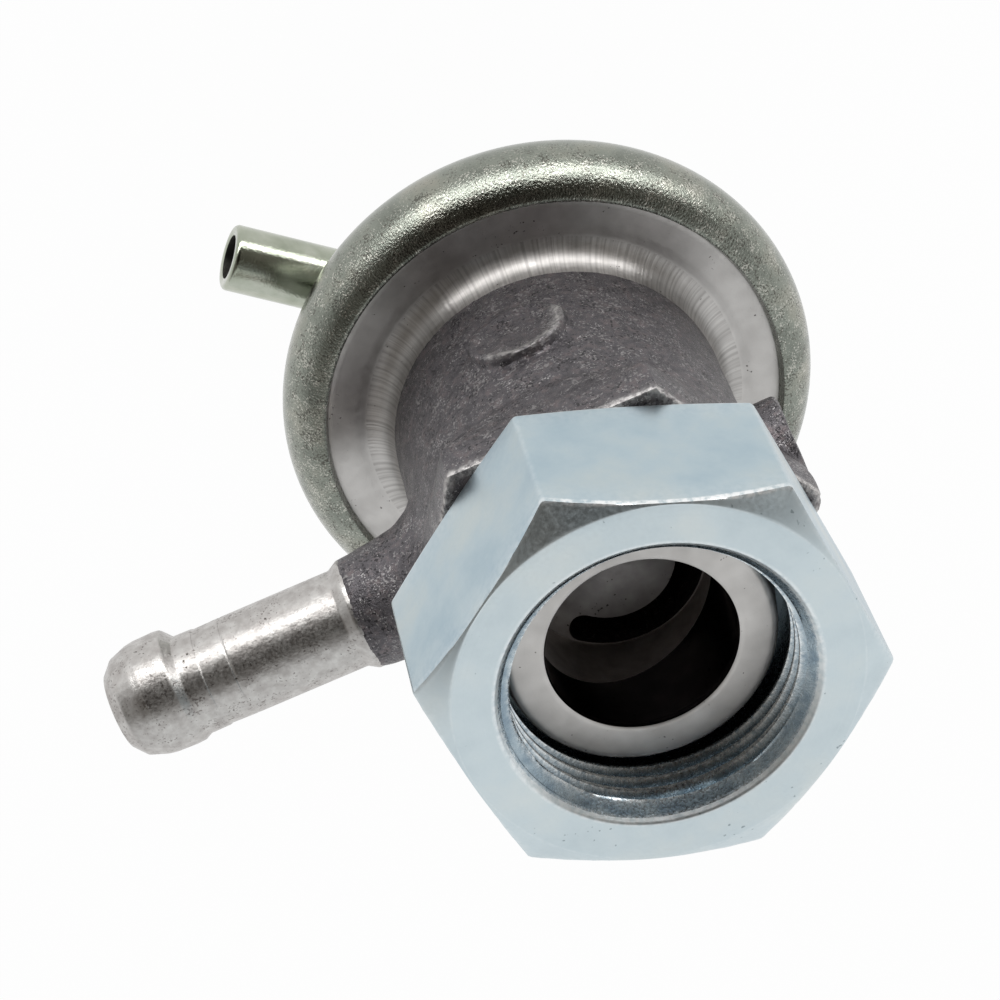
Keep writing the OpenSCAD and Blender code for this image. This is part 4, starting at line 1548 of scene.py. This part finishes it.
@dataclass
class Studio:
    """Camera, floor and soft light. The camera stands where the photograph was taken from.

    Attributes:
        eye_mm: Place of the camera, in millimetres.
        right: Direction of the picture's right.
        down: Direction of the picture's lower edge.
        lens_mm: Focal length of the lens.
        sensor_mm: Width and height of the sensor.
        viewpoint: Direction from the piece to the dark shape beside the camera.
        floor_half: Half the floor's width, in metres.
        window_at: Middle of the window, in metres.
        window_to: Point that the window faces, in metres.
        window_size: Width and height of the window, in metres.
        window_watts: Power of the window's light.
    """

    eye_mm: Triple = (8.43, 136.42, RIM_Z + 233.68)
    right: Triple = (0.9178, -0.3630, 0.1605)
    down: Triple = (-0.3924, -0.7692, 0.5043)
    lens_mm: float = 111.54
    sensor_mm: float = 36.0
    viewpoint: Triple = (0.05, 0.53, 0.85)
    floor_half: float = 3.0
    window_at: Triple = (0.26, 0.70, 0.17)
    window_to: Triple = (0, 0, 0.05)
    window_size: Point = (1.7, 0.24)
    window_watts: float = 6.4

    def camera(self) -> None:
        """Set the camera with the photograph's place, turn and lens."""
        x = Vector(self.right).normalized()
        z = x.cross(-Vector(self.down)).normalized()
        y = z.cross(x)
        lens = bpy.data.cameras.new("photo_camera")
        lens.lens = self.lens_mm
        lens.sensor_width = self.sensor_mm
        lens.sensor_height = self.sensor_mm
        lens.sensor_fit = "HORIZONTAL"
        lens.clip_start = 0.01
        holder = bpy.data.objects.new("photo_camera", lens)
        turn = Matrix((x, y, z)).transposed().to_4x4()
        holder.matrix_world = Matrix.Translation(Vector(self.eye_mm) * MM) @ turn
        bpy.context.scene.collection.objects.link(holder)
        bpy.context.scene.camera = holder

    def floor(self) -> None:
        """Lay a white floor that shows white to the camera and in gloss, and keeps a soft shadow."""
        made = bpy.data.materials.new("studio_white_floor")
        made.use_nodes = True
        tree = made.node_tree
        tree.nodes.clear()
        path = add(tree, "ShaderNodeLightPath").outputs
        seen = maths(tree, "MAXIMUM", path["Is Camera Ray"], path["Is Glossy Ray"])
        seen = maths(tree, "MAXIMUM", seen, path["Is Transmission Ray"])
        # The small rest of the paper lets the shadow show.
        share = maths(tree, "MULTIPLY", seen, 0.97)
        paper = add(tree, "ShaderNodeBsdfDiffuse", {"Color": linear("#F7F7F7")})
        white = add(tree, "ShaderNodeEmission", {"Color": linear("#FFFFFF"), "Strength": 1.0})
        both = add(tree, "ShaderNodeMixShader",
                   {0: share, 1: paper.outputs["BSDF"], 2: white.outputs["Emission"]})
        add(tree, "ShaderNodeOutputMaterial", {"Surface": both.outputs["Shader"]})
        half = self.floor_half
        corners = [(-half, -half, 0), (half, -half, 0), (half, half, 0), (-half, half, 0)]
        mesh = bpy.data.meshes.new("studio_floor")
        mesh.from_pydata(corners, [], [(0, 1, 2, 3)])
        mesh.materials.append(made)
        sheet = bpy.data.objects.new("studio_floor", mesh)
        bpy.context.scene.collection.objects.link(sheet)

    def window(self) -> None:
        """Hang the window's soft light."""
        lamp = bpy.data.lights.new("window_wall", "AREA")
        lamp.shape = "RECTANGLE"
        lamp.size, lamp.size_y = self.window_size
        lamp.energy = self.window_watts
        holder = bpy.data.objects.new("window_wall", lamp)
        aim = Vector(self.window_to) - Vector(self.window_at)
        holder.rotation_euler = aim.to_track_quat("-Z", "Y").to_euler()
        holder.location = self.window_at
        bpy.context.scene.collection.objects.link(holder)

    def light(self) -> None:
        """Set the room's light: pale beyond the piece and low down, grey above, dark beside the camera."""
        world = bpy.data.worlds.new("studio_room")
        world.use_nodes = True
        tree = world.node_tree
        tree.nodes.clear()
        sight = add(tree, "ShaderNodeTexCoord").outputs["Generated"]
        way = add(tree, "ShaderNodeSeparateXYZ", {"Vector": sight})
        behind = stretch(tree, way.outputs["Y"], 0.1, -0.4, interpolation_type="SMOOTHSTEP")
        low = stretch(tree, way.outputs["Z"], 0.55, 0.15, 0.0, 0.6, interpolation_type="SMOOTHSTEP")
        pale = maths(tree, "MAXIMUM", behind, low)
        room = mix(tree, pale, linear("#77736E"), linear("#F6F8F9"))
        towards = add(tree, "ShaderNodeVectorMath", {0: sight, 1: self.viewpoint}, operation="DOT_PRODUCT")
        near = stretch(tree, towards.outputs["Value"], 0.84, 0.95, interpolation_type="SMOOTHSTEP")
        shade = mix(tree, near, room, linear("#2B2723"))
        glow = add(tree, "ShaderNodeBackground", {"Color": shade, "Strength": 1.0})
        add(tree, "ShaderNodeOutputWorld", {"Surface": glow.outputs["Background"]})
        bpy.context.scene.world = world

    def build(self) -> None:
        """Set up the whole studio."""
        self.camera()
        self.floor()
        self.light()
        self.window()
        bpy.context.scene.view_settings.view_transform = "Standard"


def main() -> None:
    """Build and dress every piece, then note the model's size."""
    logging.basicConfig(level=logging.INFO)
    Studio().build()
    body_skins = [f.material() for f in (CAST_SKIN, TURNED, DRILLED, REAMED_AND_SHADED, SCUFFED, BORED_AND_LIT, CHATTERED)]
    nut_skins = [f.material() for f in (BLUE_ZINC, DRAWN_ZINC, THREAD_ZINC)]
    cover_skins = [f.material() for f in (YELLOW_ZINC, EASED_ZINC, ROLLED_ZINC)]
    pipe_skins = [f.material() for f in (PIPE_ZINC, TUBE_BORE)]
    wire = SPRING_WIRE.material()
    regulating = CoilSpring("main_spring", "regulating_spring", mean_r=9.3, wire_d=2.0, turns=4.908,
                            body="housing")
    closing = CoilSpring("ball_spring", "ball_coil_spring", mean_r=1.7, wire_d=0.4, turns=3,
                         body="valve_group")
    main_spring = regulating.build(wire)
    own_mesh(main_spring)
    made = [BodyCasting().build(body_skins), UnionNut().build(nut_skins), SpringCover().build(cover_skins),
            VacuumPipe().build(pipe_skins), main_spring, closing.build(wire),
            Diaphragm().build(RUBBER.material())]
    for piece in made:
        LOG.info("%s: %d faces", piece.name, len(piece.data.polygons))
    kept = {"valve_seat": GROUND_STEEL, "nut_retaining_ring": SPRING_WIRE, "fuel_side_washer": PLATE_ZINC,
            "spring_cup": PLATE_ZINC, "valve_holder": BRASS, "valve_ball": GROUND_STEEL,
            "ball_retainer": GROUND_STEEL, "spring_rest": PLATE_ZINC}
    for node, finish in kept.items():
        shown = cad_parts[node]
        shown.data.materials.clear()
        shown.data.materials.append(finish.material())
        LOG.info("%s: %s", node, finish.name)


if __name__ == "__main__":
    main()
